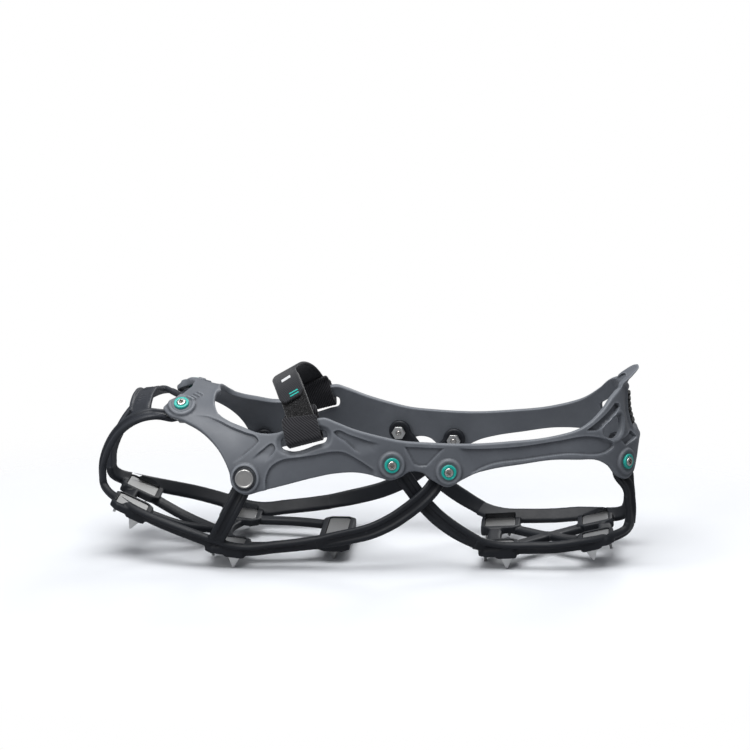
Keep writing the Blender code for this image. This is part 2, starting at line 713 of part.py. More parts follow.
def make_forefoot_web(mat, steel):
    rail = [[-158.4, -15.6, 44.4, -0.97, -0.24, 0.0], [-157.7, -16.0, 40.4, -0.93, -0.28, -0.2],
            station(-153.6, -19.4, 36.4, 35), station(-146.4, -24.6, 33, 45),
            station(-137, -30.8, 29.2, 45), station(-126, -36, 25.6, 42), station(-112, -40.8, 21.6, 40),
            station(-97, -43.5, 17, 40), station(-82, -44.5, 12.2, 40), station(-70, -44.5, 10.8, 40),
            station(-56, -44.5, 12.6, 40), station(-43, -44.6, 14.2, 38),
            station(CROSS_START_X, -44.8, 16.2, 30)]
    side = [pinned(RIVET), pinned((-73.6, 10)), station(-77.4, -49.4, 38, 0),
            station(-82, -50.2, 29, 8), station(-86.4, -48.2, 20.6, 25), station(-89, -44.5, 15.2, 40)]
    toe, ball = FOREFOOT_PODS
    links = [flat_link([toe.at(-8, 12), toe.at(-9, 22), toe.at(-9, 32)]),
             flat_link([toe.at(3, 14), (-113, -9, 15), (-92, 2, 9.4)]),
             flat_link([ball.at(-4, 18), ball.at(-9, 34), ball.at(-10, 45)]),
             flat_link([ball.at(0, 14), (-50, -27, 8.3), (-28, -21, 8.3)])]
    pad, hole = eye_steps(RIVET, bore=3.2)
    ribbons = [ribbon_mesh(rail, RAIL_WIDTH, RAIL), ribbon_mesh(side, STRAP_WIDTH, STRAP)] + links
    middle = [(arch_pod(), "UNION"), (arch_plate(GAP), "DIFFERENCE")]
    make_web("forefoot_web", mat, steel, FOREFOOT_PODS, ribbons, pad + hole, middle)
    add_object("spike_plate_arch", arch_plate(), steel)


def make_heel_web(mat, steel):
    rail = [station(HEEL_CROSS_X, -38, 16, 30), station(68, -36, 13.6, 40), station(78, -35, 12.2, 42),
            station(92, -34.6, 12.4, 42), station(106, -34.4, 13, 42), station(119, -33, 14.6, 42),
            station(131, -28.8, 15.8, 42), station(141, -22.8, 17.6, 42), station(146.8, -19.9, 20.4, 30),
            station(148.8, -19.2, 24.6, 14)]
    front, back = HEEL_PODS
    links = [flat_link([front.at(-7, 14), front.at(-8, 36)]),
             flat_link([back.at(8, 14), back.at(9, 31)]),
             flat_link([front.at(2, 14), (94, -7, 9), (104, 2, 9.8)]),
             flat_link([back.at(-2, 14), (112, -7, 10.2), (102, 2, 9.8)])]
    make_web("heel_web", mat, steel, HEEL_PODS, [ribbon_mesh(rail, RAIL_WIDTH, RAIL)] + links, [], [])


# ==== instep strap ====================================================================================

WEBBING_WIDTH = 20.5
WEBBING = 1.5
STRIP_WIDTH = 15.5
BAR = (-38.2, 47.2)       # pattern place of the bar that the strap loops round
BAR_RISE = 2.1            # rise of the bar along each 8 mm forward of its middle
BAR_SIDE = 4.6            # loop's middle line beside the bar
BAR_DROP = 8.3            # loop's middle line below the bar's centre
STRAP_PATH = [(-38.8, 53), (-42.2, 62.6), (-45, 71), (-47.5, 80), (-49.5, 89)]
STRIP_FOOT = (-38.4, 51.8)     # lower end of the strip sewn between the plies
CROWN = (-50.2, 94.5)     # where the strap crosses the boot's centre line
TAB_SPAN = 2              # the tab covers this many spans of the path
INNER_PLY = 0.2           # heights of the plies above the boot form
STRIP_PLY = 2.9
OUTER_PLY = 5.6


def bar_frame():
    """Centre, fore-and-aft direction, outward normal and upward direction of the bar on the left side."""
    centre, normal = on_form(BAR, SKIN / 2)
    fore, _ = on_form((BAR[0] + 8, BAR[1] + BAR_RISE), SKIN / 2)
    aft, _ = on_form((BAR[0] - 8, BAR[1] - BAR_RISE), SKIN / 2)
    run = (fore - aft).normalized()
    return centre, run, normal, normal.cross(run).normalized()


def loop_station(out, up):
    """A station of the webbing loop, offset outward and upward from the bar's centre."""
    centre, run, normal, rise = bar_frame()
    return [*(centre + normal * out + rise * up), *normal, *run]


def ply_station(place, h):
    """A station of a webbing ply that lies along the strap, above or inside the harness."""
    low, _ = on_form(STRAP_PATH[0], h)
    high, _ = on_form(STRAP_PATH[1], h)
    point, normal = on_form(place, h)
    return [*point, *normal, *(high - low).cross(normal).normalized()]


def make_loop_webbing(mat):
    """Webbing that loops round each bar, its two plies sewn over the strap."""
    side, drop = BAR_SIDE, BAR_DROP
    inner = [ply_station((-40.8, 58.4), INNER_PLY), ply_station((-39.8, 55.2), INNER_PLY)]
    loop = [(-side + 0.6, 3.4), (-side, -0.5), (-side, -4.5), (-side * 0.8, -drop * 0.93), (0, -drop),
            (side * 0.85, -drop * 0.95), (side, -4.5), (side, -0.5), (side - 0.7, 3.2)]
    rows = inner + [loop_station(*place) for place in loop] + [ply_station(STRAP_PATH[0], OUTER_PLY)]
    mesh = ribbon_mesh(rows, WEBBING_WIDTH, WEBBING)
    add_object("instep_webbing_left", mesh, mat)
    add_object("instep_webbing_right", mirrored(mesh), mat)


def make_loop_strip(mat):
    """The pile strip that the tab grips, from the left webbing towards the top of the instep."""
    rows = [pinned(STRIP_FOOT, STRIP_PLY)] + [pinned(place, STRIP_PLY) for place in STRAP_PATH[1:]]
    add_object("loop_strip", ribbon_mesh(rows, STRIP_WIDTH, 1.8), mat)


def far_side(row):
    return [row[0], -row[1], row[2], row[3], -row[4], row[5]]


def make_top_strap(mat):
    """The strap from the right webbing over the instep, and the free tab at its end."""
    near = [pinned(place, OUTER_PLY) for place in STRAP_PATH[1:]]
    heights = [OUTER_PLY, 5.0, 3.9, STRIP_PLY, STRIP_PLY]
    right = [far_side(pinned(place, h)) for place, h in zip(STRAP_PATH[::-1], heights)]
    right[-1] = far_side(pinned(STRIP_FOOT, STRIP_PLY))
    crown = pinned(CROWN, OUTER_PLY)
    crown[1] = crown[4] = 0.0
    rows = near + [crown] + right
    add_object("instep_strap", ribbon_mesh(rows, STRIP_WIDTH, 1.6, keep=(TAB_SPAN, len(rows) - 1)), mat)
    add_object("strap_tab", ribbon_mesh(rows, STRIP_WIDTH, 1.6, keep=(0, TAB_SPAN)), mat)


# ==== joints ==========================================================================================

HEEL_WEB_PIVOT = (104, 0, 20)
TAB_HINGE = (145.7, 0, 104.9)     # rear foot of the pull tab


def pivot(name, place, children):
    """An empty on a joint's axis that carries the pieces that turn about it."""
    empty = bpy.data.objects.new(name, None)
    empty.empty_display_size = 0.01
    empty.location = (Vector(place) + Vector(TO_FRAME)) * MM
    PARTS.objects.link(empty)
    bpy.context.view_layer.update()
    for child in children:
        obj = bpy.data.objects[child]
        obj.parent = empty
        obj.matrix_parent_inverse = empty.matrix_world.inverted()
    return empty


def strap_hinge():
    """The bend between the instep strap and its free tab, at the strap's outer face."""
    point, _ = on_form(STRAP_PATH[1 + TAB_SPAN], OUTER_PLY + 0.8)
    return point


def add_pivots():
    rivet, _ = on_form(RIVET, STRAP_DEPTH)
    bar, _, _, _ = bar_frame()
    plates = ["spike_plate_" + pod.name + side for pod in FOREFOOT_PODS for side in ("_left", "_right")]
    heel_plates = ["spike_plate_" + pod.name + side for pod in HEEL_PODS for side in ("_left", "_right")]
    pivot("forefoot_pivot", (rivet.x, 0, rivet.z), ["forefoot_web", "spike_plate_arch"] + plates)
    pivot("heel_web_pivot", HEEL_WEB_PIVOT, ["heel_web"] + heel_plates)
    pivot("left_bar_pivot", bar, ["instep_webbing_left", "loop_strip"])
    right = pivot("right_bar_pivot", (bar.x, -bar.y, bar.z), ["instep_webbing_right", "instep_strap"])
    tab = pivot("strap_tab_pivot", strap_hinge(), ["strap_tab"])
    tab.parent = right
    tab.matrix_parent_inverse = right.matrix_world.inverted()
    pivot("pull_tab_pivot", TAB_HINGE, ["heel_pull_tab"])


# ==== assembly ========================================================================================

clear_scene()
PARTS = new_collection("microspikes")
TOOLS = new_collection("cutters")

elastomer = material("harness_elastomer", (0.16, 0.17, 0.18), 0.55)
web_tpu = material("web_tpu", (0.012, 0.014, 0.018), 0.45)
strap_tpu = material("toe_strap_tpu", (0.035, 0.038, 0.045), 0.5)
grip_rubber = material("grip_rubber", (0.02, 0.02, 0.022), 0.7)
teal_nylon = material("teal_nylon", (0.012, 0.42, 0.36), 0.4)
stainless = material("stainless", (0.62, 0.62, 0.60), 0.3, 1.0)
rivet_steel = material("rivet_steel", (0.70, 0.70, 0.70), 0.25, 1.0)
nut_steel = material("nut_steel", (0.45, 0.45, 0.45), 0.4, 1.0)
webbing = material("webbing", (0.03, 0.03, 0.034), 0.9)
tab_fabric = material("tab_fabric", (0.07, 0.07, 0.075), 0.8)
loop_fabric = material("loop_fabric", (0.008, 0.008, 0.008), 1.0)

make_harness(elastomer)
make_grip(grip_rubber)
make_pull_tab(elastomer)
make_screw_sets(stainless, teal_nylon, nut_steel)
make_rivets(rivet_steel)
make_toe_strap(strap_tpu)
make_cross_straps(web_tpu)
make_heel_straps(web_tpu)
make_forefoot_web(web_tpu, stainless)
make_heel_web(web_tpu, stainless)
make_loop_webbing(webbing)
make_loop_strip(loop_fabric)
make_top_strap(tab_fabric)
add_pivots()
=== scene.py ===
"""Looks for the strap-on microspikes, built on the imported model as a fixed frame.

Shapes are worked out in millimetres on the boot's own axes (toe to -X, heel to +X, near side -Y) and are
written in metres in the part's frame. A place on the harness is a pair (u, v) on the boot form: u runs from
the toe to the heel and on round it, and v runs up the side and over the top.
"""

from math import atan, cos, pi, radians, sin

import bmesh
import bpy
import numpy as np
from mathutils import Matrix, Vector
from mathutils.geometry import delaunay_2d_cdt


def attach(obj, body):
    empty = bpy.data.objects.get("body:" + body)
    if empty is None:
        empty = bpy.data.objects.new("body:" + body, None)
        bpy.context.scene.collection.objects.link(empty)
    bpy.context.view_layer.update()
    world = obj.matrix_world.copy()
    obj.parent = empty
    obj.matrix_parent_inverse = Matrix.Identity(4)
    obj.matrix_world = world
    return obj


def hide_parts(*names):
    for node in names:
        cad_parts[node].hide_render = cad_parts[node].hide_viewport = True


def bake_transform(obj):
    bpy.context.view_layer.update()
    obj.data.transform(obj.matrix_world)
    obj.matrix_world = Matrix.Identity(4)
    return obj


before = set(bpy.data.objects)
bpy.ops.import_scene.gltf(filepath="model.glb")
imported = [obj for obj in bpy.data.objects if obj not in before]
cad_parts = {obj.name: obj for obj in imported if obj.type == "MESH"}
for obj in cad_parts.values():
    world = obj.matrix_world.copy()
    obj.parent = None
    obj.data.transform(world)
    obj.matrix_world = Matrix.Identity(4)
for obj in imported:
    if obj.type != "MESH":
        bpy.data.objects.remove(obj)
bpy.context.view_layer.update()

MM = 0.001
TO_FRAME = Vector((4.115, 0, 0.699))    # from the boot's axes to the part's frame
RNG = np.random.default_rng(7)

# the boot form that the harness is moulded to
HEEL_START = 112.0        # the outline is round from here back
HEEL_RADIUS = 39.0
WALL_FOOT = 36.0          # height at which v is 0
SECTION_POWER = 2.6       # how square the cross-section is
HALF_WIDTHS = [(-158, 6), (-152, 20), (-140, 33), (-122, 42), (-100, 47.5), (-75, 50.5), (-50, 50.5),
               (-20, 47), (15, 42.5), (50, 40), (80, 39.3), (112, 39)]
CROWN_HEIGHTS = [(-158, 64), (-150, 78), (-140, 87), (-130, 92.5), (-118, 95.5), (-108, 95.5), (-95, 92.5),
                 (-80, 90.5), (-65, 93), (-45, 103), (-30, 114), (0, 132), (50, 134), (112, 126)]
SKIN = 3.5                # thickness of the harness
BOSS = 4.8                # height of a boss above the form
BEYOND = 95.0             # past the centre line at the toe, so that the half can be cut there
BACK = HEEL_START + HEEL_RADIUS * pi / 2    # u at the middle of the heel
TAB_FOOT = 68.6           # v at which the pull tab starts

RIVET = (-70.3, 18.8)
SCREWS = {"toe": (-109.4, 59.2), "mid_front": (12.5, 26.6), "mid_rear": (45.0, 22.6), "heel": (149.2, 25.9)}
BORE = 3.3
EYE_RADIUS = 6.6
STRAP = 3.4               # thickness, and the height of its middle above the form
STRAP_DEPTH = -3.2
STRAP_WIDTH = 9.5
RAIL_WIDTH = 9.0
RAIL = 4.2

BLACK = (0, 0, 0)
WHITE = (1, 1, 1)
FLOOR_TONE = (0.80, 0.82, 0.85)
FLOOR_BOUNCE = (0.30, 0.31, 0.33)
FLOOR_NEAR = 110          # the floor fades into the surround between these distances
FLOOR_FAR = 330
ROOM_LIGHT = 0.28
WAVE = pi / 10            # scale of a wave texture whose bands are one unit apart


# ==== materials ====

def shaded(colour, share):
    return tuple(c * share for c in colour)


class Nodes:
    """Short calls that wire a procedural material. Most return an output for the next call."""

    def __init__(self, name):
        self.mat = bpy.data.materials.new(name)
        self.mat.use_nodes = True
        self.tree = self.mat.node_tree
        self.shader = self.tree.nodes["Principled BSDF"]

    def link(self, source, target):
        self.tree.links.new(source, target)

    def add(self, kind, inputs={}, **settings):
        """A new node. Each input gets another node's output, or a value of its own."""
        node = self.tree.nodes.new(kind)
        for key, value in settings.items():
            setattr(node, key, value)
        for slot, value in inputs.items():
            if isinstance(value, bpy.types.NodeSocket):
                self.link(value, node.inputs[slot])
            else:
                node.inputs[slot].default_value = value
        return node

    def place(self):
        """Texture coordinates in millimetres on the object."""
        coord = self.add("ShaderNodeTexCoord").outputs["Object"]
        return self.add("ShaderNodeVectorMath", {0: coord, "Scale": 1 / MM}, operation="SCALE").outputs[0]

    def noise(self, where, scale, detail=4, roughness=0.6):
        inputs = {"Vector": where, "Scale": scale, "Detail": detail, "Roughness": roughness}
        return self.add("ShaderNodeTexNoise", inputs).outputs["Fac"]

    def ramp(self, value, *stops):
        """Colour that runs between two stops of (position, colour)."""
        node = self.add("ShaderNodeValToRGB", {"Fac": value})
        for element, (position, colour) in zip(node.color_ramp.elements, stops):
            element.position = position
            element.color = (*colour, 1)
        return node.outputs["Color"]

    def remap(self, value, low, high, **settings):
        """0 at the low value, 1 at the high one."""
        inputs = {"Value": value, "From Min": low, "From Max": high}
        return self.add("ShaderNodeMapRange", inputs, **settings).outputs["Result"]

    def spread(self, value, low, high):
        """Stretches a value of 0 to 1 over a range."""
        inputs = {"Value": value, "To Min": low, "To Max": high}
        return self.add("ShaderNodeMapRange", inputs).outputs["Result"]

    def mix(self, factor, first, second):
        first, second = ((*v, 1) if isinstance(v, tuple) else v for v in (first, second))
        return self.add("ShaderNodeMix", {0: factor, 6: first, 7: second}, data_type="RGBA").outputs[2]

    def times(self, first, second):
        return self.add("ShaderNodeMath", {0: first, 1: second}, operation="MULTIPLY").outputs[0]

    def edges(self, low, high):
        """0 on flats and hollows, 1 on convex edges. With low above high, 1 in tight hollows. Used to paint
        highlights on convex edges and shade in tight hollows.
        """
        return self.remap(self.add("ShaderNodeNewGeometry").outputs["Pointiness"], low, high)

    def bump(self, height, strength, distance, under=None):
        inputs = {"Height": height, "Strength": strength, "Distance": distance}
        if under is not None:
            inputs["Normal"] = under
        return self.add("ShaderNodeBump", inputs).outputs["Normal"]

    def finish(self, colour, roughness, normal, **values):
        for slot, source in (("Base Color", colour), ("Roughness", roughness), ("Normal", normal)):
            self.link(source, self.shader.inputs[slot])
        for key, value in values.items():
            self.shader.inputs[key.replace("_", " ")].default_value = value
        return self.mat


def moulded(name, dark, light, edge, rough, grain=0.02, shine=0.4):
    """Injection-moulded rubbery plastic: faint cloudiness, fine moulded grain, a painted highlight that makes
    convex edges paler, and painted shade in tight hollows.
    """
    n = Nodes(name)
    where = n.place()
    cloud = n.ramp(n.noise(where, 0.05, 5), (0.3, dark), (0.7, light))
    dust = n.ramp(n.noise(where, 0.6, 8, 0.75), (0.55, BLACK), (0.8, WHITE))
    colour = n.mix(n.times(dust, 0.10), cloud, edge)
    # painted highlight: convex edges are coloured paler
    colour = n.mix(n.times(n.edges(0.505, 0.56), 0.45), colour, edge)
    # painted shade: tight hollows are coloured darker
    colour = n.mix(n.times(n.edges(0.495, 0.44), 0.55), colour, shaded(dark, 0.35))
    scuff = n.spread(n.noise(where, 0.35, 6), rough - 0.07, rough + 0.10)
    normal = n.bump(n.noise(where, 4.0, 3), 0.25, grain * MM * 10)
    normal = n.bump(n.noise(where, 14.0, 2), 0.20, grain * MM * 3, normal)
    return n.finish(colour, scuff, normal, Specular_IOR_Level=shine)


def steel(name, colour, rough, brush=(0.25, 6.0, 6.0)):
    """Stamped stainless steel: directional brushing, smudges, and edges painted brighter as a highlight."""
    n = Nodes(name)
    where = n.place()
    stretch = n.add("ShaderNodeMapping", {"Vector": where, "Scale": brush}).outputs[0]
    lines = n.noise(stretch, 2.2, 6, 0.7)
    tone = n.mix(n.spread(n.noise(where, 0.5, 5), 0.1, 0.9), shaded(colour, 0.72), colour)
    # painted highlight: convex edges are coloured brighter
    tone = n.mix(n.times(n.edges(0.51, 0.58), 0.6), tone, (0.92, 0.92, 0.90))
    scratched = n.spread(lines, rough - 0.08, rough + 0.14)
    return n.finish(tone, scratched, n.bump(lines, 0.12, 0.03 * MM), Metallic=1.0)


def ring_plastic():
    """Anodised-looking teal ring round each screw, its edges painted paler as a highlight."""
    n = Nodes("teal ring")
    where = n.place()
    cloud = n.ramp(n.noise(where, 0.8, 4), (0.3, (0.003, 0.36, 0.30)), (0.7, (0.008, 0.46, 0.39)))
    # painted highlight: convex edges are coloured paler
    colour = n.mix(n.times(n.edges(0.51, 0.57), 0.5), cloud, (0.10, 0.70, 0.60))
    rough = n.spread(n.noise(where, 2, 4), 0.22, 0.38)
    return n.finish(colour, rough, n.bump(n.noise(where, 9, 2), 0.1, 0.02 * MM))


def cloth(name, dark, light, pitch, slant, depth, rough=0.85):
    """Woven strap: twill lines along the strap's own coordinates, with thread fuzz, and the raised threads
    painted lighter as a highlight, more strongly in some patches.
    """
    n = Nodes(name)
    uv = n.add("ShaderNodeUVMap").outputs[0]
    turn = n.add("ShaderNodeMapping", {"Vector": uv, "Rotation": (0, 0, radians(slant))}).outputs[0]
    wavy = {"Vector": turn, "Scale": WAVE / pitch, "Distortion": 0.3, "Detail": 2.0, "Detail Scale": 3}
    wale = n.add("ShaderNodeTexWave", wavy).outputs["Fac"]
    picks = n.add("ShaderNodeTexWave", {"Vector": uv, "Scale": WAVE / pitch * 2}, bands_direction="Y")
    thread = n.times(wale, n.spread(picks.outputs["Fac"], 0.6, 1.0))
    where = n.place()
    fuzz = n.noise(where, 7.0, 5, 0.7)
    fade = n.noise(where, 0.12, 4)
    # painted highlight: the raised threads of the weave are coloured lighter, more in some patches
    tone = n.mix(n.times(thread, n.spread(fade, 0.5, 1.0)), dark, light)
    tone = n.mix(n.times(fuzz, 0.25), tone, light)
    normal = n.bump(fuzz, 0.4, 0.05 * MM, n.bump(thread, 0.7, depth * MM))
    return n.finish(tone, n.spread(fuzz, rough - 0.1, min(1.0, rough + 0.12)), normal, Sheen_Weight=0.25,
                    Sheen_Roughness=0.4, Specular_IOR_Level=0.25)


def pile(name, dark, light):
    """Hook-and-loop pile."""
    n = Nodes(name)
    tuft = n.noise(n.place(), 1.6, 6, 0.75)
    tone = n.ramp(tuft, (0.35, dark), (0.75, light))
    return n.finish(tone, n.spread(tuft, 0.8, 1.0), n.bump(tuft, 0.8, 0.25 * MM), Sheen_Weight=0.5,
                    Sheen_Roughness=0.5, Specular_IOR_Level=0.15)


def woven_label(name, colour):
    n = Nodes(name)
    thread = n.noise(n.place(), 3.2, 3)
    tone = n.mix(thread, shaded(colour, 0.75), colour)
    return n.finish(tone, n.spread(thread, 0.5, 0.75), n.bump(thread, 0.5, 0.06 * MM))


def floor_material():
    """Pale floor that fades into the white surround and throws little light back."""
    n = Nodes("studio floor")
    where = n.place()
    tone = n.ramp(n.noise(where, 0.004, 3), (0.3, FLOOR_TONE), (0.7, shaded(FLOOR_TONE, 1.04)))
    tone = n.mix(n.add("ShaderNodeLightPath").outputs["Is Camera Ray"], FLOOR_BOUNCE, tone)
    n.finish(tone, n.spread(n.noise(where, 0.05, 4), 0.55, 0.7), n.bump(n.noise(where, 1.5, 3), 0.05, MM))
    oval = n.add("ShaderNodeVectorMath", {0: where, 1: (0.75, 1.0, 0.0)}, operation="MULTIPLY").outputs[0]
    far = n.add("ShaderNodeVectorMath", {0: oval}, operation="LENGTH").outputs["Value"]
    fade = n.remap(far, FLOOR_NEAR, FLOOR_FAR, interpolation_type="SMOOTHSTEP")
    clear = n.add("ShaderNodeBsdfTransparent").outputs[0]
    blend = n.add("ShaderNodeMixShader", {0: fade, 1: n.shader.outputs[0], 2: clear}).outputs[0]
    n.link(blend, n.tree.nodes["Material Output"].inputs["Surface"])
    return n.mat


# ==== pieces ====

def put(name, data):
    """A new object in the scene."""
    obj = bpy.data.objects.new(name, data)
    bpy.context.scene.collection.objects.link(obj)
    return obj


def piece(name, mesh, look, nodes, body=None, bend=None, crisp=50):
    """Adds a finished mesh, made in millimetres, as one piece.

    A look is a material and a slot; only the material is put on the piece, and the slot is not used. The
    piece rides on a body, or it takes a bend, which names the body at the start, the body at the end, and
    both places;
    the piece is not bent by it, and only its transform is baked.
    """
    mesh = mesh.copy()
    mesh.transform(Matrix.Scale(MM, 4) @ Matrix.Translation(TO_FRAME))
    obj = put(name, mesh)
    mesh.materials.clear()
    mesh.materials.append(look[0])
    mesh.shade_smooth()
    mesh.set_sharp_from_angle(angle=radians(crisp))
    if body:
        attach(obj, body)
    if bend:
        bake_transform(obj)
    if nodes:
        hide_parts(*nodes)


def both_sides(stem, mesh, look, node, **motion):
    """A piece and its mirror image on the other side, each in place of that side's node."""
    for side, copy in (("_left", mesh), ("_right", mirrored(mesh))):
        piece(stem + side, copy, look, [node + side], **motion)


def mesh_from(points, faces):
    mesh = bpy.data.meshes.new("made")
    mesh.from_pydata([tuple(p) for p in points], [], faces)
    mesh.update()
    return mesh


def edited(mesh, change=None):
    """The mesh after a change, with its faces turned outward."""
    bm = bmesh.new()
    bm.from_mesh(mesh)
    if change:
        change(bm)
    bmesh.ops.recalc_face_normals(bm, faces=bm.faces)
    bm.to_mesh(mesh)
    bm.free()
    return mesh


def mirrored(mesh):
    copy = mesh.copy()
    copy.transform(Matrix.Scale(-1, 4, (0, 1, 0)))
    copy.flip_normals()
    return copy


def joined(meshes):
    """One mesh holding copies of several."""
    bm = bmesh.new()
    for mesh in meshes:
        bm.from_mesh(mesh)
    out = bpy.data.meshes.new("joined")
    bm.to_mesh(out)
    bm.free()
    return out


def modified(mesh, *steps):
    """The mesh after modifiers, each given as its kind and its settings."""
    obj = put("carrier", mesh)
    for kind, settings in steps:
        modifier = obj.modifiers.new(kind, kind)
        for key, value in settings.items():
            setattr(modifier, key, value)
    bpy.context.view_layer.update()
    out = bpy.data.meshes.new_from_object(obj.evaluated_get(bpy.context.evaluated_depsgraph_get()))
    bpy.data.objects.remove(obj, do_unlink=True)
    return out


def combined(mesh, tools, operation, solver):
    """The mesh with tool shapes cut out of it or added to it."""
    helpers = [put("tool", tool) for tool in tools]
    steps = [("BOOLEAN", {"operation": operation, "solver": solver, "object": helper}) for helper in helpers]
    out = modified(mesh, *steps)
    for helper in helpers:
        bpy.data.objects.remove(helper, do_unlink=True)
    return out


def cut(mesh, tools):
    return combined(mesh, tools, "DIFFERENCE", "MANIFOLD")


def united(meshes):
    return combined(meshes[0], meshes[1:], "UNION", "EXACT")


def fused(meshes, voxel, passes=3):
    """Shapes grown into one moulding with small fillets."""
    return modified(joined(meshes), ("REMESH", {"mode": "VOXEL", "voxel_size": voxel}),
                    ("SMOOTH", {"factor": 0.5, "iterations": passes}))


def bevelled(mesh, width, segments=2, angle=35):
    return modified(mesh, ("BEVEL", {"width": width, "segments": segments, "limit_method": "ANGLE",
                                     "angle_limit": radians(angle)}))


def both_halves(mesh):
    """Cuts a half at the centre plane and welds its mirror image to it."""
    def double(bm):
        whole = bm.verts[:] + bm.edges[:] + bm.faces[:]
        bmesh.ops.bisect_plane(bm, geom=whole, plane_co=(0, 0, 0), plane_no=(0, 1, 0), dist=1e-4,
                               clear_outer=True)
        for vert in bm.verts:
            if abs(vert.co.y) < 0.02:
                vert.co.y = 0
        copies = bmesh.ops.duplicate(bm, geom=bm.verts[:] + bm.edges[:] + bm.faces[:])["geom"]
        for vert in [g for g in copies if isinstance(g, bmesh.types.BMVert)]:
            vert.co.y = -vert.co.y
        bmesh.ops.reverse_faces(bm, faces=[g for g in copies if isinstance(g, bmesh.types.BMFace)])
        seam = [vert for vert in bm.verts if vert.co.y == 0]
        bmesh.ops.remove_doubles(bm, verts=seam, dist=0.01)

    return edited(mesh, double)


# ==== boot form ====

def along(stations, x):
    """Smooth Hermite interpolation of (x, value) stations."""
    xs, ys = np.array(stations, float).T
    slopes = np.gradient(ys, xs)
    x = np.clip(x, xs[0], xs[-1])
    i = np.clip(np.searchsorted(xs, x) - 1, 0, len(xs) - 2)
    step = xs[i + 1] - xs[i]
    t = (x - xs[i]) / step
    value = ys[i] * (2 * t**3 - 3 * t**2 + 1) + ys[i + 1] * (3 * t**2 - 2 * t**3)
    return value + step * (slopes[i] * (t**3 - 2 * t**2 + t) + slopes[i + 1] * (t**3 - t**2))


SWEEP = np.linspace(0, pi, 601)
ACROSS = np.sign(np.cos(SWEEP)) * np.abs(np.cos(SWEEP)) ** (2 / SECTION_POWER)
UPWARD = np.sin(SWEEP) ** (2 / SECTION_POWER)


def batches(count, size=4000):
    """Index runs, so that large tables are worked through in parts."""
    return np.array_split(np.arange(count), count // size + 1)


def form_points(u, v):
    """Points of the boot form at places (u, v)."""
    x = np.minimum(u, HEEL_START)
    turn = np.maximum(u - HEEL_START, 0) / HEEL_RADIUS
    width = along(HALF_WIDTHS, x)
    height = along(CROWN_HEIGHTS, x) - WALL_FOOT
    lean = np.empty(len(u))
    rise = np.empty(len(u))
    for part in batches(len(u)):
        sy = width[part, None] * ACROSS
        sz = height[part, None] * UPWARD
        run = np.zeros_like(sy)
        run[:, 1:] = np.cumsum(np.hypot(np.diff(sy, axis=1), np.diff(sz, axis=1)), axis=1)
        at = np.clip(v[part], 0, run[:, -1] - 1e-6)
        k = (run <= at[:, None]).sum(axis=1) - 1
        row = np.arange(len(part))
        t = (at - run[row, k]) / (run[row, k + 1] - run[row, k])
        lean[part] = width[part] - (sy[row, k] + t * (sy[row, k + 1] - sy[row, k]))
        rise[part] = sz[row, k] + t * (sz[row, k + 1] - sz[row, k])
    out = np.empty((len(u), 3))
    out[:, 0] = x + (HEEL_RADIUS - lean) * np.sin(turn)
    out[:, 1] = -(width - lean) * np.cos(turn)
    out[:, 2] = WALL_FOOT + rise + np.minimum(v, 0)
    return out


def wrap(u, v, h):
    """Points at height h above places on the boot form, and the outward normals there."""
    u, v, h = (np.atleast_1d(np.asarray(a, float)) for a in (u, v, h))
    small = 0.6
    point = form_points(u, v)
    du = form_points(u + small, v) - form_points(u - small, v)
    dv = form_points(u, v + small) - form_points(u, v - small)
    normal = np.cross(du, dv)
    normal /= np.maximum(np.linalg.norm(normal, axis=1, keepdims=True), 1e-9)
    return point + normal * h[:, None], normal


def on_form(place, h):
    point, normal = wrap([place[0]], [place[1]], [h])
    return Vector(point[0]), Vector(normal[0])


def outward(x, y):
    """Horizontal direction away from the boot at a place beside it."""
    if x > HEEL_START:
        return Vector((x - HEEL_START, y, 0)).normalized()
    slope = along(HALF_WIDTHS, x + 0.5) - along(HALF_WIDTHS, x - 0.5)
    return Vector((-slope, -1 if y < 0 else 1, 0)).normalized()


# ==== relief sheets ====

def smooth_loop(points, spacing, closed=True):
    """A smooth curve through points, sampled at about the spacing."""
    knots = np.array(points, float)
    before, after = np.roll(knots, 1, axis=0), np.roll(knots, -1, axis=0)
    if not closed:
        before[0] = 2 * knots[0] - knots[1]
        after[-1] = 2 * knots[-1] - knots[-2]
    back = np.linalg.norm(knots - before, axis=1)[:, None]
    ahead = np.linalg.norm(after - knots, axis=1)[:, None]
    slope = ((knots - before) / back * ahead + (after - knots) / ahead * back) / (back + ahead)
    out = []
    for k in range(len(knots) if closed else len(knots) - 1):
        nxt = (k + 1) % len(knots)
        length = ahead[k, 0]
        for t in np.arange(0, 1, 1 / max(1, round(length / spacing))):
            a, b = 2 * t**3 - 3 * t**2 + 1, t**3 - 2 * t**2 + t
            c, d = 3 * t**2 - 2 * t**3, t**3 - t**2
            out.append(knots[k] * a + slope[k] * length * b + knots[nxt] * c + slope[nxt] * length * d)
    if not closed:
        out.append(knots[-1])
    return np.array(out)


def circle(place, radius, spacing=0.7):
    count = max(16, round(2 * pi * radius / spacing))
    turn = np.arange(count) * 2 * pi / count
    return np.stack([place[0] + radius * np.cos(turn), place[1] + radius * np.sin(turn)], axis=1)


def resampled(tables, spacing):
    """Tables of rows along a path, sampled evenly by distance along the first, and those distances."""
    steps = np.linalg.norm(np.diff(tables[0], axis=0), axis=1)
    run = np.concatenate([[0], np.cumsum(steps)])
    at = np.linspace(0, run[-1], max(2, round(run[-1] / spacing) + 1))
    return [np.stack([np.interp(at, run, column) for column in rows.T], axis=1) for rows in tables] + [at]


def dense(line, spacing):
    """A polyline sampled evenly."""
    return resampled([np.array(line, float)], spacing)[0]


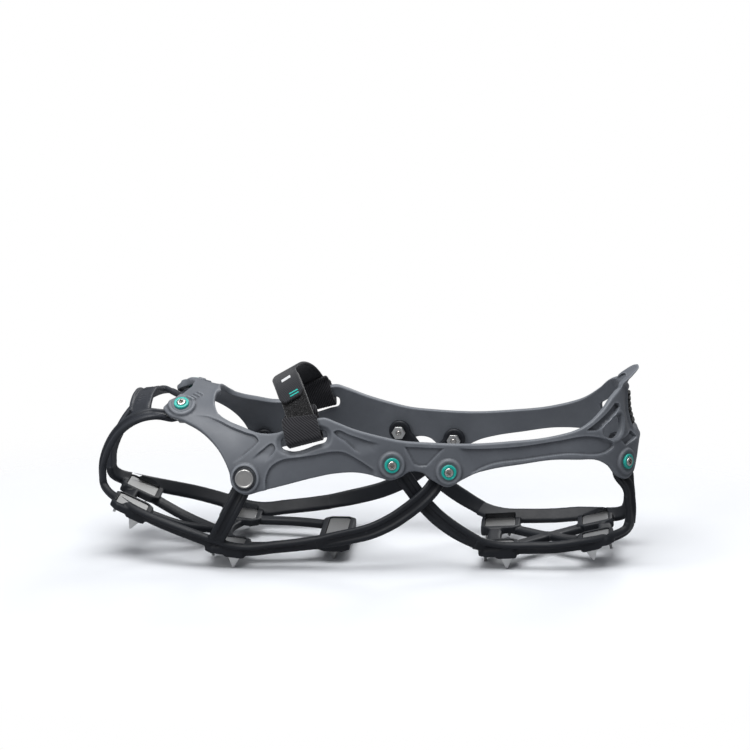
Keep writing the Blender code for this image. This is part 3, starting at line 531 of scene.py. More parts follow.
def line_distance(points, line, closed=False):
    """Distance from each point to a polyline."""
    line = np.array(line, float)
    ends = np.roll(line, -1, axis=0) if closed else line[1:]
    starts = line if closed else line[:-1]
    best = np.full(len(points), 1e9)
    for part in batches(len(points)):
        p = points[part][:, None, :]
        d = (ends - starts)[None]
        t = np.clip(((p - starts) * d).sum(2) / np.maximum((d * d).sum(2), 1e-12), 0, 1)
        gap = np.linalg.norm(p - starts - t[..., None] * d, axis=2)
        best[part] = gap.min(axis=1)
    return best


def inside(points, loop):
    """Whether each point lies inside a closed polyline."""
    loop = np.array(loop, float)
    nxt = np.roll(loop, -1, axis=0)
    result = np.zeros(len(points), bool)
    for part in batches(len(points)):
        x, y = points[part, 0][:, None], points[part, 1][:, None]
        spans = (loop[:, 1] > y) != (nxt[:, 1] > y)
        rise = np.where(nxt[:, 1] == loop[:, 1], 1e-12, nxt[:, 1] - loop[:, 1])
        cross = loop[:, 0] + (y - loop[:, 1]) * (nxt[:, 0] - loop[:, 0]) / rise
        result[part] = (spans & (x < cross)).sum(axis=1) % 2 == 1
    return result


def spaced(points, others, gap):
    """Which points are further than a gap from every other point."""
    keep = np.ones(len(points), bool)
    for part in batches(len(points), 2000):
        d = points[part][:, None, :] - others[None]
        keep[part] = (d * d).sum(axis=2).min(axis=1) > gap * gap
    return keep


def in_sheet(points, loops):
    """Whether each point is inside the first loop and outside the others."""
    mask = inside(points, loops[0])
    for hole in loops[1:]:
        mask &= ~inside(points, hole)
    return mask


def edge_gap(points, loops):
    return np.min([line_distance(points, loop, closed=True) for loop in loops], axis=0)


def ease(t):
    t = np.clip(t, 0, 1)
    return t * t * (3 - 2 * t)


def ridge(distance, middle, width):
    """1 on the top of a rounded ridge at some distance from a line, falling to 0 on both sides."""
    return np.exp(-((distance - middle) / width) ** 2)


def quarter_round(gap, radius):
    """How far a rounded edge has dropped at a distance from the border."""
    reach = np.clip(radius - gap, 0, radius)
    return radius - np.sqrt(radius**2 - reach**2)


def sideways(steps):
    """Unit vectors a quarter turn from the steps of a line."""
    return np.stack([-steps[:, 1], steps[:, 0]], axis=1) / np.linalg.norm(steps, axis=1)[:, None]


EDGE_RINGS = (0.12, 0.4, 0.75, 1.15)    # rows of points that shape an edge, as shares of its rounding


def edge_points(loops, rings):
    rows = []
    for loop in loops:
        side = sideways(np.roll(loop, -1, axis=0) - np.roll(loop, 1, axis=0))
        for ring in rings:
            for sign in (1, -1):
                moved = loop + side * ring * sign
                rows.append(moved[in_sheet(moved, loops) & (edge_gap(moved, loops) > ring * 0.93)])
    return rows


def crease_points(creases, spacing):
    """Rows of points along each crease, one for each of its offsets."""
    rows = []
    for line, offsets in creases:
        run = dense(line, spacing)
        side = sideways(np.gradient(run, axis=0))
        rows += [run + side * offset for offset in offsets]
    return np.vstack(rows)


def triangle_grid(low, high, cell):
    xs = np.arange(low[0], high[0], cell)
    ys = np.arange(low[1], high[1], cell * 0.866)
    gx, gy = np.meshgrid(xs, ys)
    gx = gx + (np.arange(len(ys)) % 2)[:, None] * cell / 2
    return np.stack([gx.ravel(), gy.ravel()], axis=1)


def triangulated(flat, loops):
    """Points and triangles of a flat sheet whose first points are those of its border loops."""
    borders = []
    first = 0
    for loop in loops:
        borders += [(first + k, first + (k + 1) % len(loop)) for k in range(len(loop))]
        first += len(loop)
    verts, _, faces, *_ = delaunay_2d_cdt([Vector(p) for p in flat], borders, [], 0, 1e-4)
    flat = np.array([tuple(v) for v in verts])
    faces = np.array([tuple(f) for f in faces])
    return flat, faces[in_sheet(flat[faces].mean(axis=1), loops)]


def drop_loose(bm):
    bmesh.ops.delete(bm, geom=[v for v in bm.verts if not v.link_faces], context="VERTS")


def relief(loops, height, creases=(), cell=0.8, edge=1.2, under=0.5, floor=None, bend=None):
    """A closed moulded sheet wrapped on the boot form: rounded edges, and a top shaped by a height function.

    Points are set along the edges, along the creases and on a grid between them. The edge radii are edge on
    top and under below; floor shapes the inner face, and bend moves the wrapped points.
    """
    rings = [edge * share for share in EDGE_RINGS]
    grid = triangle_grid(loops[0].min(axis=0), loops[0].max(axis=0), cell)
    if creases:
        soft = crease_points(creases, cell * 0.8)
        soft = soft[in_sheet(soft, loops)]
        soft = soft[edge_gap(soft, loops) > rings[-1] + 0.2]
        grid = np.vstack([soft, grid[spaced(grid, soft, cell * 0.45)]])
    grid = grid[in_sheet(grid, loops)]
    grid = grid[edge_gap(grid, loops) > rings[-1] + 0.35 * cell]
    flat, faces = triangulated(np.vstack([*loops, *edge_points(loops, rings), grid]), loops)
    gap = edge_gap(flat, loops)
    top = height(flat, gap) - quarter_round(gap, edge)
    bottom = (floor(flat, gap) if floor else 0) + quarter_round(gap, under)
    edges = dict.fromkeys(pair for a, b, c in faces for pair in ((a, b), (b, c), (c, a)))
    count = len(flat)
    sheet = [tuple(f) for f in faces] + [tuple(f[::-1] + count) for f in faces]
    sheet += [(b, a, a + count, b + count) for a, b in edges if (b, a) not in edges]
    upper, lower = (wrap(flat[:, 0], flat[:, 1], h)[0] for h in (top, bottom))
    if bend:
        upper, lower = bend(flat, upper), bend(flat, lower)
    return edited(mesh_from(np.vstack([upper, lower]), sheet), drop_loose)


# ==== harness ====

HARNESS_OUTLINE = [
    (-106, BEYOND), (-107, 80), (-109.5, 71), (-113, 64), (-117.8, 59.4), (-119.6, 56), (-117.6, 53.2),
    (-106.5, 48.8), (-98, 44.6), (-90, 38), (-83.6, 30), (-79.6, 22), (-77.5, 14), (-71, 9.6),
    (-61.6, 11.7), (-48, 15.2), (-32.5, 19.2), (-20, 21.6), (-7, 22), (4.6, 19.5), (11.8, 17.6), (17.5, 19.4),
    (22.5, 22.4), (29.5, 22), (35.5, 17.6), (44.6, 13.6), (52.5, 17.8), (60, 21.6), (70, 24.4), (86, 27.2),
    (104, 30), (118, 30.2), (128, 29.6), (136, 25.6), (142.5, 18.6), (149.5, 15.4), (156.5, 18.2),
    (161, 25), (166, 31), (BACK, 34), (BACK + 8, 34),
    (BACK + 8, 79.1), (BACK, 79.1), (BACK - 9.5, 78.8), (BACK - 15.2, 76), (BACK - 17.4, 71.4),
    (BACK - 17.6, 67.9), (151.5, 66.6), (143.5, 63.6), (134, 57), (121, 48.6), (104, 43.4),
    (78, 40), (59, 38.6), (33, 39.1), (18, 40.2), (5, 43), (-10, 47.3), (-19.8, 51.2), (-25.5, 53.2),
    (-33, 51.8), (-45, 47.2), (-53, 44.3), (-62.8, 44.2), (-73.3, 48), (-82.9, 52.2), (-88.2, 56),
    (-91, 63), (-92, 75), (-91.6, BEYOND),
]
SLOT = smooth_loop([(-49.3, 36.2), (-45.5, 34.7), (-30, 38.2), (-24.8, 40.2), (-24.6, 45), (-29.5, 46.4),
                    (-45.5, 42.4), (-49.6, 40.6)], 0.7)
WINDOW = smooth_loop([(147.5, 52.5), (147, 44.5), (144, 41.4), (138.8, 40.6), (134.2, 43), (133.8, 46.4),
                      (138, 49.6)], 0.7)
TOE_WINDOW_RIM = [(-91, 95), (-91.6, 75), (-90.6, 63), (-87.8, 56.2)]


class Recess:
    """A sunk field: its depth, the width of its wall and the line of that wall.

    A field can be open on one side, where it fades out from a second line over a length.
    """

    def __init__(self, depth, wall_width, wall, fade_line=None, fade=1.0):
        self.depth = depth
        self.wall_width = wall_width
        self.wall = smooth_loop(wall, 1.3, closed=False) if fade_line else wall
        self.fade_line = fade_line
        self.fade = fade
        self.border = np.vstack([self.wall, fade_line]) if fade_line else wall

    def lower(self, points, h):
        """Sinks the heights of the points inside the field."""
        mask = inside(points, self.border)
        share = ease(line_distance(points[mask], self.wall) / self.wall_width)
        if self.fade_line:
            share = share * ease(line_distance(points[mask], self.fade_line) / self.fade)
        h[mask] -= self.depth * share

    def crease(self):
        """The wall's line, and where its foot lies beside it."""
        line = np.array(self.wall, float)
        nxt = np.roll(line, -1, axis=0)
        area = (line[:, 0] * nxt[:, 1] - nxt[:, 0] * line[:, 1]).sum()
        inward = 1 if area > 0 else -1
        return self.wall, (0, self.wall_width * 0.5 * inward, self.wall_width * inward)


RECESSES = [
    Recess(1.5, 0.8, [(-103, 52.6), (-94.1, 53.1), (-88.5, 51.4), (-79.5, 47.3), (-70.7, 44.1), (-63.8, 41.5),
                      (-62.6, 39.4), (-64.2, 37.3), (-70.1, 31.9), (-76.6, 26.5)],
           [(-77.8, 24), (-82.5, 32), (-89, 40.5), (-97, 47), (-104, 51)], 13.0),
    Recess(1.2, 0.8, [(-67.5, 28.6), (-60.8, 34.6), (-54.4, 38.2), (-53.3, 37.0), (-58.5, 27.1)],
           [(-58.6, 26.8), (-63, 27.2), (-67.5, 28.4)], 7.0),
    Recess(1.5, 0.9, [(-58.2, 8), (-58.6, 20), (-56.1, 25.4), (-53.1, 27.9), (-48.6, 30.0), (-41.1, 31.2),
                      (-31.1, 32.8), (-21.0, 34.7), (-14.5, 34.3), (-9.5, 31.8), (-3.5, 28.1), (3.1, 23.5)],
           [(3.2, 23.4), (5, 10), (-58, 4)], 3.0),
    Recess(1.4, 0.8, [(-4.0, 31.7), (-8.5, 34.8), (-13.5, 39.3), (-20.0, 44.2), (-20.6, 45.4), (-19.2, 46.3),
                      (-11.0, 43.9), (-3.5, 41.4), (6.6, 38.5)],
           [(6.8, 38.2), (4, 33), (-3.9, 31.6)], 9.0),
    Recess(1.0, 0.8, [(19.5, 37.0), (25.0, 26.6), (28, 25.4), (32.4, 25.6), (42.4, 36.2), (33, 36.6),
                      (19.5, 37.2)]),
    Recess(1.5, 0.8, [(49, 36.3), (59.8, 36.1), (85.3, 37.7), (107.8, 41.3), (123.1, 43.6), (131.5, 42.0),
                      (139.2, 37.8), (139.6, 35.9), (137.4, 34.4), (111.4, 33.2), (89.1, 29.9), (66, 25.6),
                      (56.0, 20.0)],
           [(55.8, 20.2), (52, 28), (49, 36.1)], 7.0),
    Recess(2.1, 0.6, [(122.6, 46.6), (144.2, 60.0), (147.4, 59.2), (148.2, 57.0), (129.6, 45.8),
                      (122.6, 46.6)]),
    Recess(1.9, 0.6, [(145.4, 38.9), (156.8, 41.8), (159.8, 41.2), (161.6, 37.6), (149.2, 34.8),
                      (145.4, 38.9)]),
]
LIP_OUT = 1.7             # how much the pull tab's lip thickens outward and inward
LIP_IN = 2.4
LIP_ROUND = 2.3
HOLLOW = np.array([(34, 0.6), (36.5, 1.3), (39, 0.2), (42, -2.0), (46, -3.1), (52, -3.4), (58, -2.4),
                   (64, -0.8), (68, 0)]).T    # v, and the shift of the heel band at its back
RIBS = [(-105.2, 63.4), (-103.8, 66.0), (-102.4, 68.6), (-101.0, 71.2)]    # plain ribs on the yoke
RIB_RUN = Vector((0.88, -0.47))
RIB_HALF = (2.4, 0.85)
BOSS_RINGS = (5.1, 5.45, 5.8, 6.9, 7.2, 7.55, 7.9)
RIVET_RINGS = (6.1, 6.5, 6.9, 7.7, 8.0, 8.35, 8.7)
GRIP_LOW = 43
GRIP_HIGH = 62
GRIP_HALF = 7.5
POCKET_HALF = 7.4         # the pad is a press fit in its pocket
POCKET_EDGE = [(BACK + 8, GRIP_LOW), (BACK - POCKET_HALF, GRIP_LOW), (BACK - POCKET_HALF, GRIP_HIGH),
               (BACK + 8, GRIP_HIGH)]


def boss_profile(r):
    """Height of a screw boss above the skin: a raised ring, a step and a flat seat."""
    return 1.3 * (1 - ease((r - 6.9) / 1.0)) - 0.45 * (1 - ease((r - 5.1) / 0.7))


def rivet_profile(r):
    """Height round the ball rivet: a tall ring with a sunk seat inside it."""
    return 1.4 * (1 - ease((r - 7.7) / 1.0)) - 2.0 * (1 - ease((r - 6.1) / 0.8))


def tab_share(points, foot):
    """0 on the harness, 1 on the pull tab above a foot line."""
    return ease((points[:, 1] - foot) / 5) * ease((points[:, 0] - 148) / 4)


def harness_height(points, gap):
    """Outer face of the harness."""
    u, v = points.T
    h = np.full(len(points), SKIN)
    for recess in RECESSES:
        recess.lower(points, h)
    below_slot = ease((50.5 - v + 0.33 * (u + 37)) / 6)
    h -= 1.3 * (1 - ease((line_distance(points, SLOT, closed=True) - 1.0) / 2.0)) * below_slot
    h += 0.5 * ridge(line_distance(points, WINDOW, closed=True), 1.7, 0.8)
    h += 0.45 * ridge(line_distance(points, TOE_WINDOW_RIM), 1.5, 0.7)
    for place in SCREWS.values():
        h += boss_profile(np.hypot(u - place[0], v - place[1]))
    h += rivet_profile(np.hypot(u - RIVET[0], v - RIVET[1]))
    for place in RIBS:
        du, dv = u - place[0], v - place[1]
        far = np.abs(du * RIB_RUN.x + dv * RIB_RUN.y)
        wide = np.abs(dv * RIB_RUN.x - du * RIB_RUN.y)
        h += 0.7 * ease((RIB_HALF[0] - far) / 0.4) * ease((RIB_HALF[1] - wide) / 0.35)
    middle, half = (GRIP_LOW + GRIP_HIGH) / 2, (GRIP_HIGH - GRIP_LOW) / 2
    pocket = np.maximum(np.abs(u - BACK) - POCKET_HALF, np.abs(v - middle) - half)
    h -= 1.9 * (1 - ease((pocket + 0.2) / 0.5))
    h += 0.9 * ridge(pocket, 2.2, 1.3)
    lip = LIP_OUT - 2.6 * ease((gap - 3.2) / 2.4) - quarter_round(gap, LIP_ROUND)
    return h + tab_share(points, TAB_FOOT) * lip


def harness_floor(points, gap):
    """Inner face: flat, but for the pull tab's thick lip."""
    lip = LIP_IN * (1 - ease((gap - 3.2) / 2.4)) - quarter_round(gap, LIP_ROUND)
    return -tab_share(points, TAB_FOOT - 1) * lip


def heel_shape(flat, points):
    """Hollows the back of the heel behind the pad, and leans the pull tab's lip away from it."""
    u, v = flat.T
    points = points.copy()
    shift = np.interp(v, *HOLLOW) * ease((24 - np.abs(u - BACK)) / 12)
    turn = np.maximum(u - HEEL_START, 0) / HEEL_RADIUS
    points[:, 0] += shift * np.sin(turn)
    points[:, 1] -= shift * np.cos(turn)
    rise = np.clip(v - 66, 0, None) * (u > 140)
    points[:, 0] += 1.08 * rise**2 / (rise + 3)
    points[:, 2] -= 0.28 * rise**2 / (rise + 6)
    return points


def make_harness(look):
    loops = [smooth_loop(HARNESS_OUTLINE, 0.8), SLOT, WINDOW]
    loops += [circle(place, BORE) for place in (*SCREWS.values(), RIVET)]
    creases = [recess.crease() for recess in RECESSES]
    for place, radii in [(place, BOSS_RINGS) for place in SCREWS.values()] + [(RIVET, RIVET_RINGS)]:
        creases += [(np.vstack([circle(place, r), circle(place, r)[:1]]), (0,)) for r in radii]
    creases.append((POCKET_EDGE, (-0.2, 0.05, 0.3)))
    for place in RIBS:
        ends = [tuple(Vector(place) + RIB_RUN * reach) for reach in (-2.4, -2.1, 2.1, 2.4)]
        creases.append((ends, (-0.85, -0.5, 0, 0.5, 0.85)))
    half = relief(loops, harness_height, creases, cell=0.85, floor=harness_floor, bend=heel_shape)
    piece("moulded_harness", both_halves(half), look, ["harness", "heel_pull_tab"],
          bend=("harness_body", "pull_tab", (148, 0, 104.7), (151, 0, 110.5)))


def grip_height(points, gap):
    wave = 0.5 + 0.5 * np.cos((points[:, 1] - 44.4) * 2 * pi / 3.1)
    return SKIN + 0.1 + 1.5 * ease(wave * 1.5 - 0.2) * ease(gap / 1.2)


def grip_floor(points, gap):
    return np.full(len(points), SKIN - 1.7)


def make_grip(look):
    """The ribbed pad let into the back of the heel."""
    u0, u1 = BACK - GRIP_HALF, BACK + GRIP_HALF
    corners = [(u0, GRIP_LOW), (u1, GRIP_LOW), (u1 - 1.5, GRIP_HIGH), (u0 + 1.5, GRIP_HIGH), (u0, GRIP_LOW)]
    half = relief([dense(corners, 0.6)[:-1]], grip_height, cell=0.5, edge=0.6, under=0.2, floor=grip_floor,
                  bend=heel_shape)
    piece("ribbed_grip", both_halves(half), look, ["heel_grip_pad"], body="harness_body")


# ==== sweeps ====

def smooth_path(knots, per_span):
    """Catmull-Rom samples of rows of numbers."""
    rows = np.array(knots, float)
    rows = np.vstack([2 * rows[0] - rows[1], rows, 2 * rows[-1] - rows[-2]])
    samples = []
    for i in range(1, len(rows) - 2):
        for t in np.arange(per_span) / per_span:
            a, b, c, d = rows[i - 1:i + 3]
            bow = 2 * a - 5 * b + 4 * c - d + t * (3 * (b - c) + d - a)
            samples.append(b + 0.5 * t * (c - a + t * bow))
    samples.append(rows[-2])
    return np.array(samples)


def path_frames(stations, per_span, spacing):
    """Evenly spaced points, width directions and face directions along a smooth path, and the distances.

    A station is a point and a face direction, and it can end with a width direction of its own.
    """
    path = smooth_path(stations, per_span)
    points = path[:, :3]
    ahead = np.gradient(points, axis=0)
    ahead /= np.linalg.norm(ahead, axis=1, keepdims=True)
    across = path[:, 6:9] if path.shape[1] > 6 else np.cross(ahead, path[:, 3:6])
    across = across - ahead * (across * ahead).sum(axis=1, keepdims=True)
    across /= np.linalg.norm(across, axis=1, keepdims=True)
    return resampled([points, across, np.cross(across, ahead)], spacing)


GROOVE_HALF = 1.9
END_RUN = 14.0            # over this length a strap takes on the section of the rail that it meets
BUTT = (RAIL_WIDTH - 0.25, RAIL - 0.25)


def arc(cx, cy, radius, first, last, steps=4):
    """Points of a corner arc, angles in degrees."""
    turns = [radians(first + (last - first) * k / steps) for k in range(steps + 1)]
    return [(cx + radius * cos(turn), cy + radius * sin(turn)) for turn in turns]


def strap_section(width, thick, radius, groove):
    """Closed outline (across, face) of a moulded strap: rounded edges, and a shallow groove in its face."""
    x, y, top = width / 2 - radius, thick / 2 - radius, thick / 2
    outline = arc(x, -y, radius, -90, 0, 3) + arc(x, y, radius, 0, 90, 3)
    if groove:
        outline += [(GROOVE_HALF, top), (GROOVE_HALF - 0.6, top - groove)]
        outline += [(-GROOVE_HALF + 0.6, top - groove), (-GROOVE_HALF, top)]
    outline += arc(-x, y, radius, 90, 180, 3) + arc(-x, -y, radius, 180, 270, 3)
    return np.array(outline)


def tube(count, sides, first=0):
    """Faces of a closed tube of vertex rings."""
    faces = []
    for k in range(count - 1):
        for j in range(sides):
            a, b = first + k * sides + j, first + k * sides + (j + 1) % sides
            faces.append((a, b, b + sides, a + sides))
    last = first + (count - 1) * sides
    return faces + [tuple(range(first, first + sides))[::-1], tuple(range(last, last + sides))]


def split_ends(bm):
    bmesh.ops.triangulate(bm, faces=[f for f in bm.faces if len(f.verts) > 4])


def swept(stations, width, thick, radius=1.2, groove=0.0, fade=7.0, spacing=1.5, first=None, last=None):
    """A moulded strap along stations. Its groove fades out near both ends, which can have own sections."""
    points, across, face, run = path_frames(stations, 12, spacing)
    rings = []
    for k, s in enumerate(run):
        share = float(ease(min(s, run[-1] - s) / fade - 0.4))
        wide, deep = width, thick
        for section, gone in ((first, s), (last, run[-1] - s)):
            if section:
                near = 1 - float(ease((gone - 2) / END_RUN))
                wide += (section[0] - wide) * near
                deep += (section[1] - deep) * near
        outline = strap_section(wide, deep, radius, groove * max(share, 1e-3))
        rings.append(points[k] + outline[:, :1] * across[k] + outline[:, 1:] * face[k])
    return edited(mesh_from(np.vstack(rings), tube(len(rings), len(rings[0]))), split_ends)


def station(x, y, z, tilt):
    """A station beside the boot that faces outward, and down by a tilt."""
    normal = outward(x, y) * cos(radians(tilt)) - Vector((0, 0, sin(radians(tilt))))
    return [x, y, z, *normal]


def pinned(place, h=STRAP_DEPTH):
    """A station at a place on the boot form."""
    point, normal = on_form(place, h)
    return [*point, *normal]


def lathe(profile, sides=48):
    """A turned solid about +Z from a closed or axis-to-axis profile of (radius, height)."""
    points, faces, rows = [], [], []
    for r, z in profile:
        count = sides if r else 1
        rows.append(range(len(points), len(points) + count))
        points += [(r * cos(2 * pi * k / sides), r * sin(2 * pi * k / sides), z) for k in range(count)]
    pairs = list(zip(rows, rows[1:]))
    if profile[0][0]:
        pairs.append((rows[-1], rows[0]))
    for low, high in pairs:
        for k in range(sides):
            nxt = (k + 1) % sides
            ring = [low[k % len(low)], low[nxt % len(low)], high[nxt % len(high)], high[k % len(high)]]
            ring = list(dict.fromkeys(ring))
            if len(ring) > 2:
                faces.append(ring)
    return edited(mesh_from(points, faces))


def prism(outline, low, high):
    """A flat solid from an outline."""
    count = len(outline)
    points = [(x, y, low) for x, y in outline] + [(x, y, high) for x, y in outline]
    faces = [tuple(range(count))[::-1], tuple(range(count, 2 * count))]
    faces += [(k, (k + 1) % count, count + (k + 1) % count, count + k) for k in range(count)]
    return mesh_from(points, faces)


def placed(mesh, place, h):
    """The mesh moved from the origin, Z up, to a place on the boot form, with Z outward."""
    point, normal = on_form(place, h)
    turn = normal.to_track_quat("Z", "Y").to_matrix().to_4x4()
    mesh.transform(Matrix.Translation(point) @ turn)
    return mesh


def eye_pad(place):
    """Round end of a strap at a fastener."""
    half, edge = STRAP / 2, 1.1
    reach = EYE_RADIUS - edge
    rim = arc(reach, half - edge, edge, 90, 0) + arc(reach, -half + edge, edge, 0, -90)
    return placed(lathe([(0, half)] + rim + [(0, -half)], 40), place, STRAP_DEPTH)


def eye_hole(place, radius=BORE):
    return placed(lathe([(0, 8), (radius, 8), (radius, -8), (0, -8)], 40), place, STRAP_DEPTH)


# ==== fasteners ====

HEAD_BASE = BOSS - 0.45 + 0.05    # just above the seat in a boss
FLANGE = HEAD_BASE + 1.05         # top of the teal ring
SCREW_TOP = FLANGE + 0.55
BUSH_END = -5.1
SCREW_END = -9.0
STAR_LOBES = 6


def star_tool(reach, low, high):
    """Six-lobed driver recess."""
    ring = []
    for k in range(48):
        turn = 2 * pi * k / 48
        r = reach * (0.84 + 0.16 * cos(STAR_LOBES * turn))
        ring.append((r * cos(turn), r * sin(turn)))
    return prism(ring, low, high)


def add_fastener(stem, mesh, look, place, node):
    both_sides(stem, placed(mesh.copy(), place, 0), look, node, body="harness_body")


def make_bush():
    """The teal ring and its sleeve through the harness."""
    rim = arc(2.95, FLANGE - 0.2, 0.2, 180, 90) + arc(3.9, FLANGE - 0.4, 0.4, 90, 0)
    sleeve = [(4.3, HEAD_BASE - 0.6), (2.9, HEAD_BASE - 0.6), (2.9, BUSH_END), (1.8, BUSH_END),
              (1.8, FLANGE - 1.2), (2.75, FLANGE - 1.1)]
    return lathe([(2.75, FLANGE - 0.25)] + rim + sleeve)


def make_screw():
    body = [(0, SCREW_END), (1.25, SCREW_END), (1.45, SCREW_END + 0.2), (1.45, FLANGE - 1.0),
            (2.6, FLANGE - 1.0), (2.62, FLANGE - 0.1), (2.52, SCREW_TOP - 0.3), (2.35, SCREW_TOP - 0.1),
            (2.0, SCREW_TOP), (0, SCREW_TOP)]
    over = SCREW_TOP + 1
    drill = lathe([(0, SCREW_TOP - 3.4), (1.15, SCREW_TOP - 3.4), (1.15, over), (0, over)])
    return cut(lathe(body), [star_tool(1.85, SCREW_TOP - 1.2, over), drill])


def make_nut():
    """Hexagon nut with a round collar that meets the bushing."""
    nut = lathe([(1.75, -6.9), (1.75, -8.5)] + arc(3.9, -8.2, 0.3, -90, 0) + arc(3.9, -7.2, 0.3, 0, 90), 6)
    collar = lathe([(1.75, -5.2), (1.75, -7.0)] + arc(3.0, -6.9, 0.1, -90, 0) + arc(2.9, -5.5, 0.3, 0, 90))
    return joined([bevelled(nut, 0.25), collar])


def make_screw_sets(screw_look, ring_look, nut_look):
    bush, screw, nut = make_bush(), make_screw(), make_nut()
    for name, place in SCREWS.items():
        add_fastener(name + "_screw_head", screw, screw_look, place, name + "_screw")
        add_fastener(name + "_teal_ring", bush, ring_look, place, name + "_bushing")
        add_fastener(name + "_hex_nut", nut, nut_look, place, name + "_nut")


def make_rivets(look):
    seat = SKIN - 0.5
    crown = BOSS + 1.55
    shank = [(0, -7.0), (2.0, -7.0), (2.3, -6.7), (2.3, seat), (5.25, seat), (5.3, seat + 0.1)]
    rim = arc(5.3 - 0.45, crown - 0.45, 0.45, 0, 80)
    dish = [(4.5, crown - 0.03), (4.35, crown - 0.16), (4.1, crown - 0.18), (2.0, crown - 0.12),
            (0, crown - 0.10)]
    back = lathe([(2.35, -5.8), (2.35, -7.0)] + arc(4.7, -6.7, 0.3, -90, 0) + arc(4.7, -6.1, 0.3, 0, 90))
    add_fastener("ball_rivet_disc", lathe(shank + rim + dish, 72), look, RIVET, "ball_rivet")
    add_fastener("ball_rivet_back", back, look, RIVET, "ball_rivet_washer")


# ==== straps ====

CROSS_START_X = -30.0     # where the cross straps leave the rails
HEEL_CROSS_X = 60.0
STRAP_VOXEL = 0.5
WEB_VOXEL = 0.6


def make_toe_strap(look):
    """The strap over the toecap: two arms from the rails to the yoke's screws, and a ribbed bridge."""
    arm = [[-158.4, -15.6, 42.9, -0.97, -0.24, 0.0], [-158.0, -16.8, 53, -0.94, -0.33, 0.10],
           [-154.6, -21.5, 63, -0.84, -0.42, 0.33], [-149.2, -26, 72.5, -0.70, -0.48, 0.52],
           [-142.4, -30, 80, -0.55, -0.50, 0.67], [-134.5, -32.5, 85.2, -0.36, -0.48, 0.80],
           [-126, -31.8, 87.2, -0.18, -0.50, 0.85], pinned((-117.5, 56.2), -4.1), pinned(SCREWS["toe"])]
    bridge = [[-133, -31, 85.6, -0.3, -0.48, 0.8], [-134.2, -23, 88.9, -0.25, -0.35, 0.9],
              [-134.8, -12, 90.9, -0.2, -0.16, 0.97], [-135, 2, 91.4, -0.2, 0, 0.98]]
    front = [[-139.4, -26.5, 87.0, -0.3, -0.4, 0.85], [-140.0, -18, 89.8, -0.25, -0.3, 0.9],
             [-140.3, -8, 91.6, -0.2, -0.1, 0.97], [-140.4, 2, 91.9, -0.2, 0, 0.98]]
    rear = [[x + 10.6, y, z + 1.0, *normal] for x, y, z, *normal in front]
    solids = [swept(arm, 8.8, STRAP, groove=0.9, first=BUTT), swept(bridge, 11.0, 2.8)]
    solids += [swept(rim, 2.0, 3.2, radius=0.9) for rim in (front, rear)] + [eye_pad(SCREWS["toe"])]
    ribs = [(-134.6, -20.0, 91.0), (-134.8, -16.0, 92.0), (-135.0, -12.0, 92.6), (-135.1, -8.0, 92.9)]
    for x, y, z in ribs:
        rib = [[x - 2.2, y, z - 0.65, 0, -0.1, 1], [x + 2.2, y, z - 0.1, 0, -0.1, 1]]
        solids.append(swept(rib, 1.3, 1.3, radius=0.5, spacing=0.5))
    half = cut(fused(solids, STRAP_VOXEL), [eye_hole(SCREWS["toe"])])
    piece("moulded_toe_strap", both_halves(half), look, ["toe_strap"],
          bend=("harness_body", "forefoot", (-122, 0, 88), (-156, 0, 52)))


def add_eyed_straps(stem, path, place, look, node, motion, **ends):
    """A pair of straps between a fastener and a web. The motion names the web's body and both places."""
    mesh = fused([swept(path, STRAP_WIDTH, STRAP, groove=1.0, **ends), eye_pad(place)], STRAP_VOXEL)
    both_sides(stem, cut(mesh, [eye_hole(place)]), look, node, bend=("harness_body", *motion))


def make_cross_straps(look):
    outer = [station(CROSS_START_X - 2, -44.8, 15.9, 32), station(-15, -45.6, 19.5, 15),
             station(0, -46.2, 23.5, 6), station(12, -45, 29, 0), station(21, -43.8, 35, 0),
             station(29, -43.2, 41.5, 0), station(34.5, -41.2, 46.8, 0), pinned((39.5, 16.8)),
             pinned(SCREWS["mid_rear"])]
    inner = [station(HEEL_CROSS_X + 2, -37.7, 15.5, 33), station(53, -38.6, 20.5, 15),
             station(45.5, -38.7, 25.3, 5), station(37.5, -38.2, 31.5, 0), station(30, -38.2, 39.5, 0),
             station(24, -38.4, 47.5, 0), pinned((18.5, 19.8)), pinned(SCREWS["mid_front"])]
    add_eyed_straps("outer_cross_strap", outer, SCREWS["mid_rear"], look, "forefoot_cross_strap",
                    ("forefoot", (34, -42, 50), (-26, -45, 18)), first=BUTT)
    add_eyed_straps("inner_cross_strap", inner, SCREWS["mid_front"], look, "heel_cross_strap",
                    ("heel", (20, -38, 52), (57, -38, 18)), first=BUTT)


def make_heel_straps(look):
    path = [pinned(SCREWS["heel"]), pinned((151.5, 17)), station(147.4, -20.8, 46, 0),
            station(148.6, -20.2, 38, 2), station(149.2, -19.4, 31, 6), station(148.8, -19.2, 23.4, 14)]
    add_eyed_straps("rear_strap", path, SCREWS["heel"], look, "heel_strap",
                    ("heel", (148, 0, 52), (149, 0, 28)), last=BUTT)


# ==== webs and plates ====

SHEET = 1.6               # thickness of the steel
TOOTH_DROP = 9.5
TOOTH_SHOULDER = 3.5
TOOTH_WIDTH = 6.8
TIP_WIDTH = 0.9
TOOTH_MARGIN = 0.6        # plate left beside a tooth
POD_BELOW = 3.4           # the block's collars, floor and top, from the underside of its plate
POD_FLOOR = 2.2
POD_ABOVE = 2.2
COLLAR_HALF = 3.4         # half the size of a collar across its tooth, and along it
COLLAR_REACH = 6.0
BLOCK_MARGIN = 7.2
GAP = 0.3                 # room round a plate in its pocket
PLATE_BEVEL = 0.22


